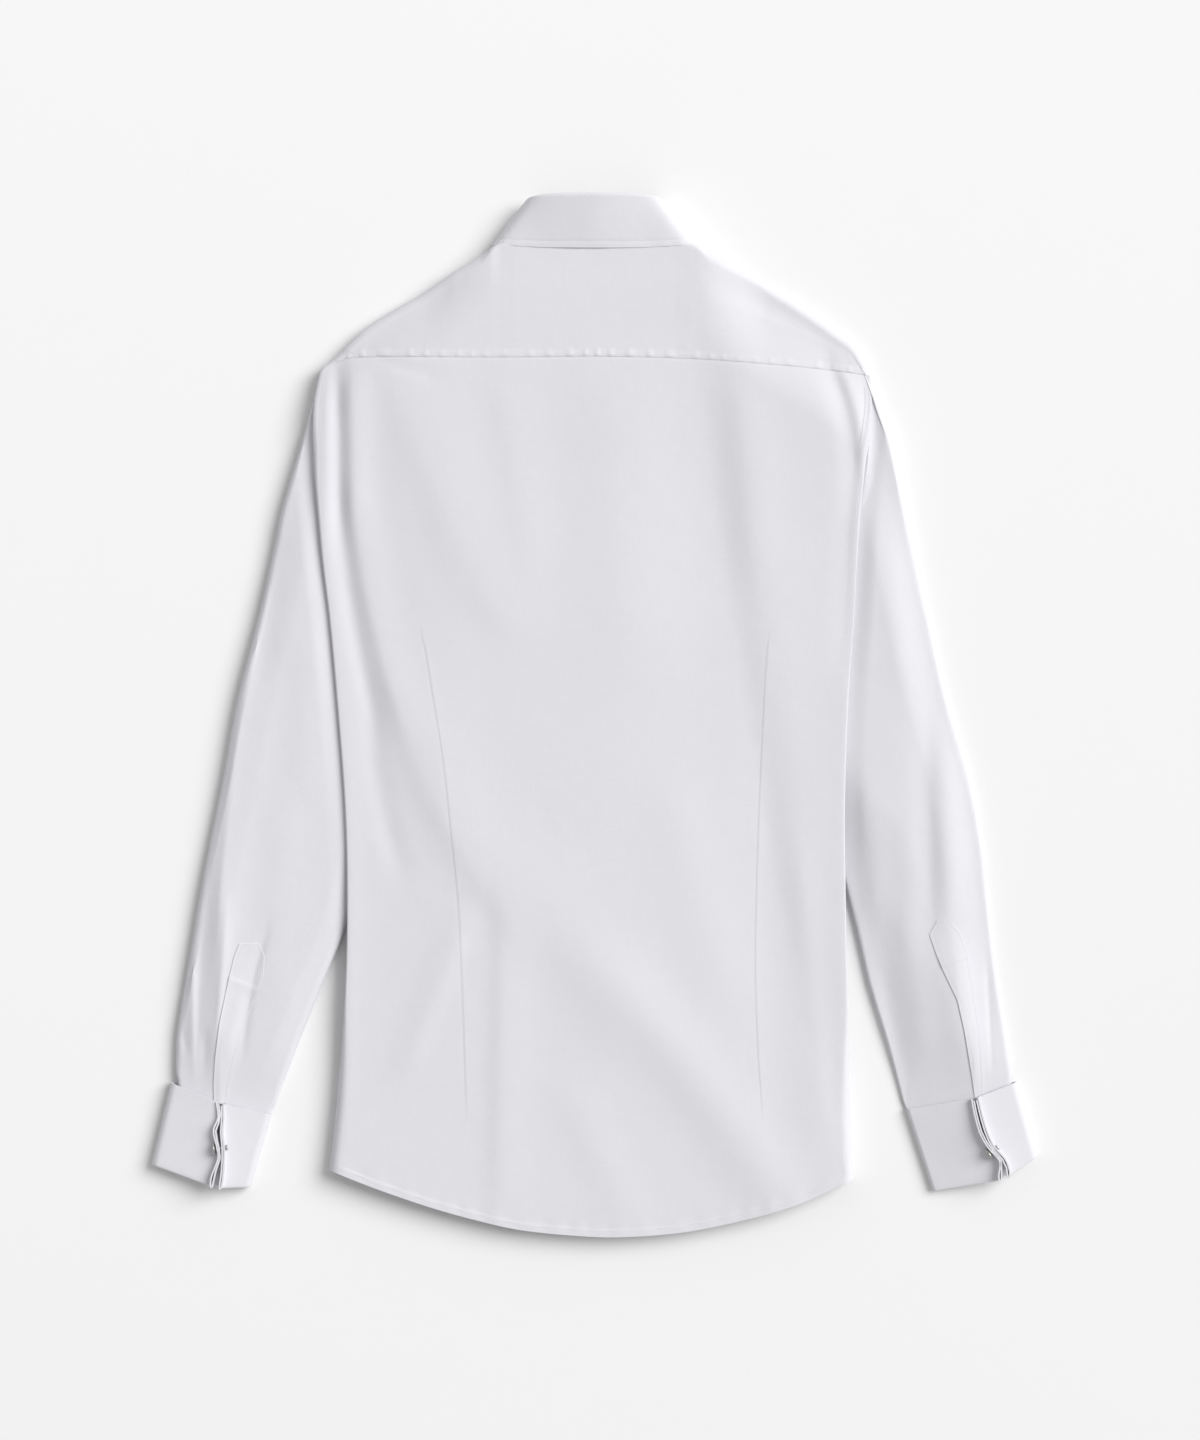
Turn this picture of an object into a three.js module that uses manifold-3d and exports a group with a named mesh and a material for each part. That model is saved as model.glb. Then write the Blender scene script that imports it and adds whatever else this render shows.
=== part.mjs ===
// A long sleeve dress shirt in white poplin, laid out flat on its front so that its back shows:
// curved hem, yoke, turned-down collar, tower sleeve plackets and double cuffs with cufflinks.
//
// Millimetres, +Z up. The shirt lies on the plane z = 0 with its outside front on that plane.
// +Y runs from the hem to the collar, +X to the right as seen from above, and the origin is on
// the plane under the middle of the shirt's outline. Heights are those of the middle of the cloth.
// "right" and "left" are those of the picture from above: the wearer's right side is at +X.

import * as THREE from "three";
import { mergeVertices } from "three/addons/utils/BufferGeometryUtils.js";
import Module from "manifold-3d";

const wasm = await Module();
wasm.setup();

// ---------------------------------------------------------------- driving dimensions

const CLOTH = 1.2; // wall of the poplin panels
const COLLAR_WALL = 2.0; // collar leaf and stand, fused in two layers
const CUFF_WALL = 1.8;
const PLACKET_WALL = 1.4;
const SEAM_GAP = 0.35; // between two pieces that a seam joins
const FLOOR = CLOTH / 2; // middle of a panel that lies on the plane

const SIDE_SEAM_INSET = 22; // the back wraps round each side by this much
const YOKE_WRAP = 30; // the yoke wraps over the shoulders by this much
const SLEEVE_TOP = 12.4; // middle of a flat sleeve's upper layer
const BODY_LIFT = 13.7; // rise of the body's under layer where it crosses a sleeve
const LIFT_RAMP = [52, 22]; // the rise starts and ends this far inboard of the sleeve's inner edge
const SHOULDER_DROP = 5; // the top layer sinks by this much at the shoulder folds
const SHOULDER_DROP_REACH = 45;
const NECK_CENTRE = [0, 330];
const COLLAR_LIFT = 2.8; // the fronts ride over the collar leaf by this much
const COLLAR_LIFT_REACH = [140, 116];

const PLACKET_WIDTH = 35; // front placket
const PLACKET_LEVEL = 3.2;
const UNDERLAP_LEVEL = 5.1; // the right front's edge, on the placket's inner side
const UNDERLAP_REACH = -15;
const PLACKET_RAMP = 30;

const BUTTON_RADIUS = 5.5;
const BUTTON_HEIGHT = 2.2;
const BUTTON_PITCH = 85;
const BUTTON_TOP_Y = 205;
const BUTTON_COUNT = 7;

const CUFF_LAYER = 2.6; // from the cuff's inner layer to its turned-back layer
const CUFF_OUTER_LEVEL = 0.9; // under side, turned-back layer
const CUFF_TOP_LEVEL = 14.2; // upper side, turned-back layer
const CUFF_FIN_TOP = 25.5; // the meeting ends stand up to here
const CUFF_BEND = 4.6;
const CUFF_UNDERLAP = 9; // the inner layer starts this far below the turned-back edge
const LINK_HOLE = 1.75;
const LINK_POST = 1.35;
const LINK_DISC = 5.2;
const LINK_LEVEL = 20.8;

// ---------------------------------------------------------------- tables

function table(names, rows) {
  return rows.map((row) => Object.fromEntries(names.map((name, i) => [name, row[i]])));
}

const mix = (a, b, t) => a + (b - a) * t;
const clamp = (v, low, high) => Math.min(Math.max(v, low), high);

function ease(from, to, v) {
  const t = clamp((v - from) / (to - from), 0, 1);
  return t * t * (3 - 2 * t);
}

// Value of column `name` where column `key` is `at`: a cubic through the rows whose slope at
// each row is that of its two neighbours, held at the first and last rows.
function read(rows, key, at, name) {
  const last = rows.length - 1;
  const rising = rows[last][key] > rows[0][key];
  const k = (i) => (rising ? rows[i][key] : -rows[i][key]);
  const v = clamp(rising ? at : -at, k(0), k(last));
  let i = 0;
  while (i < last - 1 && v > k(i + 1)) i++;
  const step = k(i + 1) - k(i);
  const slope = (j) => {
    const a = Math.max(j - 1, 0);
    const b = Math.min(j + 1, last);
    return (rows[b][name] - rows[a][name]) / (k(b) - k(a));
  };
  const t = (v - k(i)) / step;
  const t2 = t * t;
  const t3 = t2 * t;
  return (
    (2 * t3 - 3 * t2 + 1) * rows[i][name] +
    (t3 - 2 * t2 + t) * step * slope(i) +
    (3 * t2 - 2 * t3) * rows[i + 1][name] +
    (t3 - t2) * step * slope(i + 1)
  );
}

// Outline of the body from the yoke seam down to the hem, one column for each side.
const BODY_EDGE = table(
  ["y", "left", "right"],
  [
    [270, -213, 214.5],
    [246, -217.5, 216],
    [223, -219, 214.5],
    [200, -218.7, 211.8],
    [165, -216, 207.8],
    [121, -212, 204.5],
    [76, -206.5, 202.3],
    [14, -200.8, 197.8],
    [-73, -194.3, 195],
    [-145, -192.7, 195.7],
    [-214, -194.2, 197],
    [-292, -200.1, 199],
    [-331, -204, 200.2],
    [-362, -207.5, 201.8],
  ],
);

const HEM = table(
  ["x", "y"],
  [
    [-207, -354.5],
    [-167, -370],
    [-128, -383.5],
    [-93, -393.5],
    [-58, -401.3],
    [-11, -406],
    [20, -406.6],
    [67, -402.9],
    [113.5, -393.5],
    [160, -380.2],
    [202, -361],
  ],
);

const YOKE_SEAM = table(
  ["x", "y"],
  [
    [-213, 269],
    [-204, 274.8],
    [-192, 278.4],
    [-170, 279.4],
    [-74, 279],
    [4, 279.6],
    [74, 278],
    [129, 274.2],
    [176, 270.3],
    [214, 265.6],
  ],
);

// Shoulder folds, by distance from the middle; inside the first row runs the back neck seam.
const SHOULDER = table(
  ["out", "left", "right"],
  [
    [0, 370.8, 370.8],
    [60, 370.8, 370.8],
    [65, 369, 369],
    [70, 365.5, 367],
    [76, 362, 365.5],
    [84, 358.5, 363.5],
    [97, 352.6, 357.6],
    [110, 345.8, 349.4],
    [133, 330, 335.8],
    [156, 316.8, 321.9],
    [180, 301.6, 305.8],
    [191, 291.4, 297.6],
    [204, 278, 287.4],
    [213.5, 271.5, 271.5],
  ],
);

// Height of the top layer along the middle and along the rolled sides.
const TOP_LAYER = table(
  ["y", "middle", "side"],
  [
    [380, 20.8, 20.8],
    [330, 21.8, 21.8],
    [275, 21.5, 21.5],
    [200, 19.8, 22],
    [121, 19.4, 21.6],
    [0, 19, 21],
    [-100, 18.6, 20.4],
    [-190, 18, 19.2],
    [-270, 17.2, 17.8],
    [-340, 16, 16.2],
    [-410, 15.2, 15.2],
  ],
);

// Largest soft folds of the back: from one place to another, half width, rise or fall.
const BACK_FOLDS = table(
  ["x0", "y0", "x1", "y1", "reach", "rise"],
  [
    [-190, 240, -176, 60, 20, -1.6],
    [-172, 235, -70, -10, 34, 1.5],
    [110, 240, 130, -60, 26, -1.6],
    [178, 250, 196, 165, 13, -1.8],
    [60, 200, 40, 40, 40, 0.8],
    [-124, -110, -150, -290, 30, -1.0],
    [95, -270, 160, -360, 30, 0.9],
    [-30, -215, 45, -330, 26, -0.9],
  ],
);

// How the back rolls over each side: turn in degrees from flat on top, radius above the
// armpit, and how far the cloth runs on under the roll.
const SIDE_ROLL = table(
  ["y", "turn", "radius", "tail"],
  [
    [270, 30, 4, 0.5],
    [235, 36, 4, 0.5],
    [205, 80, 4.2, 0.5],
    [175, 160, 4.2, 0.8],
    [150, 180, 5.4, 5],
    [118, 180, 5.7, 16.3],
  ],
);
const ARMPIT_Y = 118;

// Hidden inner edge of each sleeve, then the edge that shows below the body.
const SLEEVE_INNER = table(
  ["y", "left", "right"],
  [
    [120, -185, 177],
    [104, -176, 168],
    [84, -169, 159],
    [51, -161, 148],
    [12, -157, 143],
    [-27, -159.5, 150],
    [-66, -167, 168],
    [-105, -177, 188],
    [-160, -192.3, 203.2],
    [-210, -213, 214.9],
    [-261, -233.5, 230.5],
    [-312, -252.5, 244.5],
  ],
);

const SLEEVE_OUTER = table(
  ["y", "left", "right"],
  [
    [262, -214.5, 216.5],
    [240, -221, 223.2],
    [207, -230.5, 232.8],
    [161, -244, 242.4],
    [131, -250.2, 248.6],
    [78, -262, 260.3],
    [14, -278.4, 274.6],
    [-50, -290.2, 293],
    [-101, -300.7, 302.5],
    [-142, -308.5, 306.9],
    [-192, -316.8, 312.5],
    [-229, -323.3, 317.9],
    [-250, -326.4, 321.5],
    [-287, -327.6, 328],
    [-300, -328.4, 331],
  ],
);

// Rings of a sleeve from the armhole to the cuff: where each meets the outer and the inner
// edge, how far it bows outwards between them, how much its upper layer stands above
// SLEEVE_TOP where the body leaves it free, and how far its under layer is lifted and its
// edges drawn in to enter the cuff.
const SLEEVE_RINGS = table(
  ["outer", "inner", "bow", "puff", "lift", "tuck"],
  [
    [222, 84, 10, 6, 0, 0],
    [190, 60, 4, 5, 0, 0],
    [148, 32, 1, 3.4, 0, 0],
    [98, 0, 0, 2.2, 0, 0],
    [46, -38, 0, 1.4, 0, 0],
    [-6, -76, 0, 1.0, 0, 0],
    [-56, -113, 0, 0.8, 0, 0],
    [-104, -150, 0, 0.6, 0, 0],
    [-160, -196, 0, 0.4, 0, 0],
    [-218, -246, 0, 0.2, 0, 0],
    [-262, -286, 0, 0, 0, 0],
    [-276, -299, 0, 0, 1.2, 0.8],
    [-284, -306, 0, 0, 2.3, 3.6],
    [-293, -314.5, 0, 0, 2.3, 5.4],
  ],
);

// Front armholes on the under side.
const FRONT_ARMHOLE = table(
  ["y", "left", "right"],
  [
    [250, -190, 190],
    [215, -187, 184],
    [180, -185, 179],
    [150, -185.5, 178.5],
    [118, -190, 182.4],
  ],
);

// Neckline of the fronts and the front collar, by distance from the middle.
const FRONT_NECK = table(
  ["out", "y"],
  [
    [0, 262],
    [20, 265.5],
    [38, 275],
    [52, 290],
    [62, 307],
    [69, 326],
    [72.5, 339],
  ],
);

// Folds of the sleeves' upper layers.
const SLEEVE_FOLDS = {
  left: table(
    ["x0", "y0", "x1", "y1", "reach", "rise"],
    [
      [-258, 75, -272, -85, 7, -1.5],
      [-270, -100, -283, -190, 7, -1.4],
    ],
  ),
  right: table(
    ["x0", "y0", "x1", "y1", "reach", "rise"],
    [
      [259, -15, 259, -140, 9, -1.2],
      [275, -30, 277, -130, 9, 0.8],
    ],
  ),
};

// Tower plackets at the sleeve ends, as shown from above.
const SLEEVE_PLACKET = {
  left: table(
    ["y", "from", "to"],
    [
      [-178, -277, -262],
      [-188, -281, -257.6],
      [-203, -284.6, -258.6],
      [-216, -287.4, -264.2],
      [-240, -292.4, -273],
      [-268, -296, -281],
      [-288, -297.4, -285.5],
    ],
  ),
  right: table(
    ["y", "from", "to"],
    [
      [-160, 267.5, 276],
      [-171, 261.5, 286],
      [-187, 267, 291.4],
      [-199, 272, 293.4],
      [-222, 283, 297],
      [-246, 288.4, 300.7],
      [-282, 294.6, 303.5],
    ],
  ),
};

// Cuffs, from the turned-back edge (0) to the wrist fold (1): silhouette and the meeting ends.
const CUFF = {
  left: {
    outer: { top: [-331.2, -286.5], wrist: [-346.3, -350.6] },
    inner: { top: [-252.3, -311.6], wrist: [-268.7, -368.6] },
    ends: table(
      ["along", "x", "y"],
      [
        [0, -293.5, -302.5],
        [0.35, -291.5, -321],
        [0.7, -289.8, -345],
        [1, -297, -369.5],
      ],
    ),
  },
  right: {
    outer: { top: [330.2, -286], wrist: [346.4, -344.4] },
    inner: { top: [243.8, -307.7], wrist: [264.8, -372.4] },
    ends: table(
      ["along", "x", "y"],
      [
        [0, 298, -297],
        [0.35, 302, -322],
        [0.7, 311, -344],
        [1, 316.5, -361],
      ],
    ),
  },
};

// Collar by stations from the middle of the back to the front end: the fold line (shared by
// leaf and stand) and the leaf's free edge.
const COLLAR_LEAF = table(
  ["fold_x", "fold_y", "fold_z", "edge_x", "edge_y", "edge_z"],
  [
    [0, 406, 27, 0, 364, 23.2],
    [24, 405.8, 27, 38, 364.4, 23.2],
    [42, 405, 26, 64, 365.8, 23.2],
    [48.5, 404.6, 22, 71.5, 367, 22.4],
    [50.5, 404.2, 17, 76, 367.8, 17],
    [51, 404, 12, 78, 367.2, 11],
    [52.5, 400, 5, 80, 366, 4.4],
    [55, 390, 1.2, 82, 362, 1],
    [57, 360, 1, 92, 344, 1],
    [50, 328, 1, 84, 300, 1],
    [27, 299, 1, 66, 256, 1],
    [6, 289, 1, 50, 233, 1],
  ],
);

const MATERIALS = {
  poplin: { color: 0xe4e4ea, roughness: 0.72, metalness: 0 },
  fused: { color: 0xe8e8ee, roughness: 0.66, metalness: 0 },
  button: { color: 0xf0eee8, roughness: 0.3, metalness: 0 },
  link: { color: 0x9a9a98, roughness: 0.32, metalness: 0.95 },
};

// ---------------------------------------------------------------- solids from surfaces

function makeMesh(name, geometry, kind) {
  const mesh = new THREE.Mesh(geometry, new THREE.MeshStandardMaterial(MATERIALS[kind]));
  mesh.name = name;
  return mesh;
}

function volume(points, faces) {
  let sum = 0;
  for (const [a, b, c] of faces) {
    sum += points[a].dot(new THREE.Vector3().crossVectors(points[b], points[c]));
  }
  return sum / 6;
}

function toGeometry(points, faces) {
  const outward = volume(points, faces) > 0;
  const index = faces.flatMap(([a, b, c]) => (outward ? [a, b, c] : [a, c, b]));
  const geometry = new THREE.BufferGeometry();
  geometry.setAttribute(
    "position",
    new THREE.Float32BufferAttribute(points.flatMap((p) => p.toArray()), 3),
  );
  geometry.setIndex(index);
  return geometry;
}

// Nothing reaches below the plane that the shirt lies on.
function onPlane(point) {
  point.z = Math.max(point.z, 0);
  return point;
}

// A wall of even thickness about a grid of points, grid[row][column]. Its two faces are the
// grid moved half the thickness each way along the surface's normal, with a rim round the
// free edges. A looped grid closes on itself along its rows.
function wall(grid, thickness, looped = false) {
  const rows = grid.length;
  const columns = grid[0].length;
  const wrap = (c) => (looped ? (c + columns) % columns : clamp(c, 0, columns - 1));
  const at = (r, c) => grid[clamp(r, 0, rows - 1)][wrap(c)];
  const upper = [];
  const lower = [];
  for (let r = 0; r < rows; r++) {
    for (let c = 0; c < columns; c++) {
      const across = new THREE.Vector3().subVectors(at(r, c + 1), at(r, c - 1));
      const along = new THREE.Vector3().subVectors(at(r + 1, c), at(r - 1, c));
      const normal = across.cross(along).normalize().multiplyScalar(thickness / 2);
      upper.push(onPlane(at(r, c).clone().add(normal)));
      lower.push(onPlane(at(r, c).clone().sub(normal)));
    }
  }
  const count = rows * columns;
  const faces = [];
  const quad = (a, b, c, d) => faces.push([a, b, c], [a, c, d]);
  const id = (r, c) => r * columns + wrap(c);
  const lastColumn = looped ? columns : columns - 1;
  for (let r = 0; r < rows - 1; r++) {
    for (let c = 0; c < lastColumn; c++) {
      quad(id(r, c), id(r, c + 1), id(r + 1, c + 1), id(r + 1, c));
      quad(count + id(r, c), count + id(r + 1, c), count + id(r + 1, c + 1), count + id(r, c + 1));
    }
  }
  for (let c = 0; c < lastColumn; c++) {
    quad(id(0, c), count + id(0, c), count + id(0, c + 1), id(0, c + 1));
    const r = rows - 1;
    quad(id(r, c), id(r, c + 1), count + id(r, c + 1), count + id(r, c));
  }
  if (!looped) {
    for (let r = 0; r < rows - 1; r++) {
      quad(id(r, 0), id(r + 1, 0), count + id(r + 1, 0), count + id(r, 0));
      const c = columns - 1;
      quad(id(r, c), count + id(r, c), count + id(r + 1, c), id(r + 1, c));
    }
  }
  return toGeometry([...upper, ...lower], faces);
}

function toManifold(geometry) {
  const bare = geometry.clone();
  bare.deleteAttribute("normal");
  bare.deleteAttribute("uv");
  const merged = mergeVertices(bare, 1e-4);
  return new wasm.Manifold(
    new wasm.Mesh({
      numProp: 3,
      vertProperties: new Float32Array(merged.attributes.position.array),
      triVerts: new Uint32Array(merged.index.array),
    }),
  );
}

function fromManifold(solid) {
  const { vertProperties, triVerts } = solid.getMesh();
  const geometry = new THREE.BufferGeometry();
  geometry.setAttribute("position", new THREE.BufferAttribute(vertProperties, 3));
  geometry.setIndex(new THREE.BufferAttribute(triVerts, 1));
  return geometry;
}

// ---------------------------------------------------------------- heights

// Sum of soft folds: each is a bell across its line, fading out over its ends.
function folds(rows, x, y) {
  let sum = 0;
  for (const { x0, y0, x1, y1, reach, rise } of rows) {
    const length = Math.hypot(x1 - x0, y1 - y0);
    const [dx, dy] = [(x1 - x0) / length, (y1 - y0) / length];
    const along = (x - x0) * dx + (y - y0) * dy;
    const across = (x - x0) * dy - (y - y0) * dx;
    const ends = ease(-reach, reach, along) * (1 - ease(length - reach, length + reach, along));
    sum += rise * ends * Math.exp(-((across / reach) ** 2));
  }
  return sum;
}

const sideOf = (x) => (x < 0 ? "left" : "right");

// Height of the back's and yoke's top layer.
function topHeight(x, y) {
  const side = sideOf(x);
  const edge = Math.abs(read(BODY_EDGE, "y", y, side));
  const middle = read(TOP_LAYER, "y", y, "middle");
  const rolled = read(TOP_LAYER, "y", y, "side");
  const level = mix(middle, rolled, ease(0.5, 0.92, Math.abs(x) / edge));
  const slope = 0.82;
  const below = (read(SHOULDER, "out", Math.abs(x), side) - y) * slope;
  const shoulder = ease(62, 90, Math.abs(x));
  const drop = SHOULDER_DROP * shoulder * (1 - ease(0, SHOULDER_DROP_REACH, below));
  return level - drop + folds(BACK_FOLDS, x, y);
}

// Height of the body's under layer: on the plane, over the collar leaf, or over a sleeve.
function underHeight(x, y) {
  const inner = Math.abs(read(SLEEVE_INNER, "y", y, sideOf(x)));
  const [start, end] = LIFT_RAMP;
  const over = ease(inner - start, inner - end, Math.abs(x)) * (1 - ease(160, 215, y));
  const away = Math.hypot(x - NECK_CENTRE[0], y - NECK_CENTRE[1]);
  const collar = COLLAR_LIFT * ease(...COLLAR_LIFT_REACH, away);
  return FLOOR + Math.max(BODY_LIFT * over, collar);
}

// Height of a sleeve's upper layer; puff is what it gains beyond the body's edge.
function sleeveHeight(side, x, y, puff) {
  const edge = Math.abs(read(BODY_EDGE, "y", y, side));
  const free = y < -200 ? 1 : ease(edge + 1, edge + 16, Math.abs(x));
  return SLEEVE_TOP + puff * free + folds(SLEEVE_FOLDS[side], x, y);
}

// ---------------------------------------------------------------- back

// Half of the back's section at y: from the top, round the side and in under it to the seam.
// Column 0 is the roll's start on top and the last column is the seam.
function sideSection(side, y, arcSteps, tailSteps) {
  const sign = side === "left" ? -1 : 1;
  const edge = read(BODY_EDGE, "y", y, side);
  const turn = THREE.MathUtils.degToRad(read(SIDE_ROLL, "y", y, "turn"));
  const seamX = edge - sign * SIDE_SEAM_INSET;
  const full = 1 - ease(ARMPIT_Y, 150, y);
  const guess = edge - sign * 6;
  const rest = y > ARMPIT_Y ? FLOOR + BODY_LIFT : underHeight(guess, y);
  const spare = (topHeight(guess, y) - rest) / 2;
  const radius = mix(spare, read(SIDE_ROLL, "y", y, "radius"), ease(165, 210, y));
  const centreX = edge - sign * radius * Math.sin(Math.min(turn, Math.PI / 2));
  const top = mix(topHeight(guess, y), topHeight(centreX, y), ease(165, 210, y));
  const points = [];
  for (let i = 0; i <= arcSteps; i++) {
    const angle = (turn * i) / arcSteps;
    points.push([centreX + sign * radius * Math.sin(angle), top - radius * (1 - Math.cos(angle))]);
  }
  const [endX, endZ] = points[points.length - 1];
  const tail = read(SIDE_ROLL, "y", y, "tail");
  const loose = [endX + sign * tail * Math.cos(turn), endZ - tail * Math.sin(turn)];
  const sewn = [seamX, underHeight(seamX, y)];
  const end = [mix(loose[0], sewn[0], full), mix(loose[1], sewn[1], full)];
  for (let i = 1; i <= tailSteps; i++) {
    points.push([mix(endX, end[0], i / tailSteps), mix(endZ, end[1], i / tailSteps)]);
  }
  return points;
}

const ARC_STEPS = 4;
const TAIL_STEPS = 2;

// Columns of the back's top, as shares of the way from the middle to the roll.
const TOP_SHARES = [0.2, 0.4, 0.585, 0.7075, 0.83, 0.901, 0.9575];

function backSection(y) {
  const left = sideSection("left", y, ARC_STEPS, TAIL_STEPS);
  const right = sideSection("right", y, ARC_STEPS, TAIL_STEPS);
  const across = [
    ...TOP_SHARES.map((share) => share * left[0][0]).reverse(),
    0,
    ...TOP_SHARES.map((share) => share * right[0][0]),
  ];
  const middle = across.map((x) => [x, topHeight(x, y)]);
  return [...left.reverse(), ...middle, ...right];
}

// Rows of the back, as shares of the way from the yoke seam to the hem, closest at the armholes.
const BACK_ROWS = [
  0, 0.035, 0.07, 0.105, 0.14, 0.175, 0.21, 0.245, 0.32, 0.4, 0.49, 0.58, 0.67, 0.76, 0.84, 0.92, 1,
];

// The back: sections across it from the yoke seam to the hem, each column running from its
// own height on the seam to its own height on the hem.
function makeBack() {
  const first = backSection(266);
  const last = backSection(-358);
  const grid = [];
  for (const share of BACK_ROWS) {
    grid.push(
      first.map((_, c) => {
        const spread = 1 + 4 * ease(150, 190, Math.abs(first[c][0]));
        const topY = read(YOKE_SEAM, "x", first[c][0], "y") - SEAM_GAP * spread;
        const hemY = read(HEM, "x", last[c][0], "y");
        const y = mix(topY, hemY, share);
        const [x, z] = backSection(y)[c];
        return new THREE.Vector3(x, y, z);
      }),
    );
  }
  return makeMesh("back", wall(grid, CLOTH), "poplin");
}

// ---------------------------------------------------------------- yoke

// One line of the yoke from its back seam over the shoulder fold to its front edge, or to the
// neck seam between the shoulders. Returns points and the direction at its end.
function yokeLine(x, topSteps, wrapSteps) {
  const side = sideOf(x);
  const sign = Math.sign(x) || 1;
  const out = Math.abs(x);
  const foldY = read(SHOULDER, "out", out, side);
  const wrapped = ease(61, 70, out);
  const lean = mix(0, 0.56, ease(78, 120, out)) + 0.2 * ease(190, 213, out);
  const inward = new THREE.Vector2(-sign * lean, -Math.sqrt(1 - lean * lean));
  const turn = Math.PI * wrapped;
  const foldTop = topHeight(x + inward.x * 7, foldY + inward.y * 7);
  const under = underHeight(x + inward.x * 12, foldY + inward.y * 12);
  const radius = (foldTop - under) / 2;
  const tail = mix(2, YOKE_WRAP - radius, ease(69, 74, out));
  const quarter = Math.min(turn, Math.PI / 2);
  const flat = turn < Math.PI / 2 ? tail * Math.cos(turn) : 0;
  const seam = new THREE.Vector2(x, read(YOKE_SEAM, "x", x, "y"));
  const room = (0.85 * (foldY - seam.y)) / -inward.y;
  const width = Math.min(radius, room);
  const reach = width * Math.sin(quarter) + flat;
  const centre = new THREE.Vector2(x, foldY).addScaledVector(inward, reach);
  const points = [];
  for (let i = 0; i <= topSteps; i++) {
    const p = seam.clone().lerp(centre, i / topSteps);
    const z = mix(topHeight(p.x, p.y), foldTop, ease(0.6, 1, i / topSteps));
    points.push(new THREE.Vector3(p.x, p.y, z));
  }
  const arcLength = radius * turn;
  const total = arcLength + tail;
  const ending = new THREE.Vector3();
  for (let i = 1; i <= wrapSteps; i++) {
    const s = (total * i) / wrapSteps;
    const angle = Math.min(s / radius, turn);
    const rest = Math.max(s - arcLength, 0);
    const back = width * Math.sin(angle) + rest * Math.cos(turn);
    const p = centre.clone().addScaledVector(inward, -back);
    const onArc = foldTop - radius * (1 - Math.cos(angle)) - rest * Math.sin(turn);
    const resting = underHeight(p.x, p.y);
    const z = mix(onArc, resting, wrapped * ease(0, 8, rest));
    points.push(new THREE.Vector3(p.x, p.y, z));
  }
  ending.subVectors(points[points.length - 1], points[points.length - 2]).normalize();
  return { points, ending };
}

const YOKE_TOP_STEPS = 3;
const YOKE_WRAP_STEPS = 5;
const YOKE_HALF = [30, 58, 62, 65, 67, 69, 71.5, 74, 82, 100, 124, 150, 176, 191, 203, 213];

function yokeColumns() {
  return [...YOKE_HALF.map((x) => -x).reverse(), 0, ...YOKE_HALF];
}

function makeYoke() {
  const lines = yokeColumns().map((x) => yokeLine(x, YOKE_TOP_STEPS, YOKE_WRAP_STEPS).points);
  const grid = lines[0].map((_, r) => lines.map((line) => line[r]));
  return makeMesh("yoke", wall(grid, CLOTH), "poplin");
}

// ---------------------------------------------------------------- fronts and front placket

// Top edge of a front: the neckline, then the forward shoulder seam along the yoke's edge.
function frontTopRows(side) {
  const sign = side === "left" ? -1 : 1;
  const seam = YOKE_HALF.filter((x) => x >= 74).map((x) => {
    const { points } = yokeLine(sign * x, YOKE_TOP_STEPS, YOKE_WRAP_STEPS);
    const end = points[points.length - 1];
    return { out: Math.abs(end.x), y: end.y - 1.3 };
  });
  return [...FRONT_NECK.filter((row) => row.out < seam[0].out - 1), ...seam];
}

function frontSideX(side, y) {
  if (y > ARMPIT_Y) return read(FRONT_ARMHOLE, "y", y, side);
  const sign = side === "left" ? -1 : 1;
  return read(BODY_EDGE, "y", y, side) - sign * (SIDE_SEAM_INSET + 2.5 * SEAM_GAP);
}

// Rise of a front towards the middle: the left front meets the placket strip, and the right
// front runs in above it.
function frontHeight(side, x, y) {
  const level = side === "left" ? PLACKET_LEVEL : UNDERLAP_LEVEL;
  const start = side === "left" ? -PLACKET_WIDTH / 2 : PLACKET_WIDTH / 2;
  const away = side === "left" ? start - x : x - start;
  const rise = (level - FLOOR) * (1 - ease(0, PLACKET_RAMP, away));
  return Math.max(underHeight(x, y), FLOOR + rise);
}

// Columns of the fronts, by distance from the middle at their top edge.
const FRONT_COLUMNS = [4, 22, 38, 52, 62, 70, 78, 88, 104, 126, 150, 172];

function makeFront(side) {
  const rows = 14;
  const topRows = frontTopRows(side);
  const sideOut = Math.abs(frontSideX(side, 250));
  const start = side === "left" ? PLACKET_WIDTH / 2 + SEAM_GAP : UNDERLAP_REACH;
  const middle = side === "left" ? -start : start;
  const outs = [start, ...FRONT_COLUMNS.filter((out) => out > start + 5), sideOut];
  const shares = outs.map((out) => (out - start) / (sideOut - start));
  const grid = [];
  for (let r = 0; r <= rows; r++) {
    const line = [];
    for (const share of shares) {
      const topX = mix(middle, frontSideX(side, 250), share);
      const topY = read(topRows, "out", Math.abs(topX), "y");
      const hemX = mix(middle, frontSideX(side, -358), share);
      const hemY = read(HEM, "x", hemX, "y") + 6 * (1 - share);
      const y = mix(topY, hemY, r / rows);
      const x = mix(middle, frontSideX(side, y), share);
      line.push(new THREE.Vector3(x, y, frontHeight(side, x, y)));
    }
    grid.push(line);
  }
  return makeMesh(`${side}_front`, wall(grid, CLOTH), "poplin");
}

function makeFrontPlacket() {
  const half = PLACKET_WIDTH / 2;
  const rows = 8;
  const grid = [];
  for (let r = 0; r <= rows; r++) {
    grid.push(
      [-half, 0, half].map((x) => {
        const topY = read(FRONT_NECK, "out", Math.abs(x), "y");
        const hemY = read(HEM, "x", x, "y") + 6;
        return new THREE.Vector3(x, mix(topY, hemY, r / rows), PLACKET_LEVEL);
      }),
    );
  }
  return makeMesh("front_placket", wall(grid, CLOTH), "poplin");
}

// ---------------------------------------------------------------- sleeves

const RING_TOP = 10;
const RING_END = 2;
const RING_BOTTOM = 7;

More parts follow.
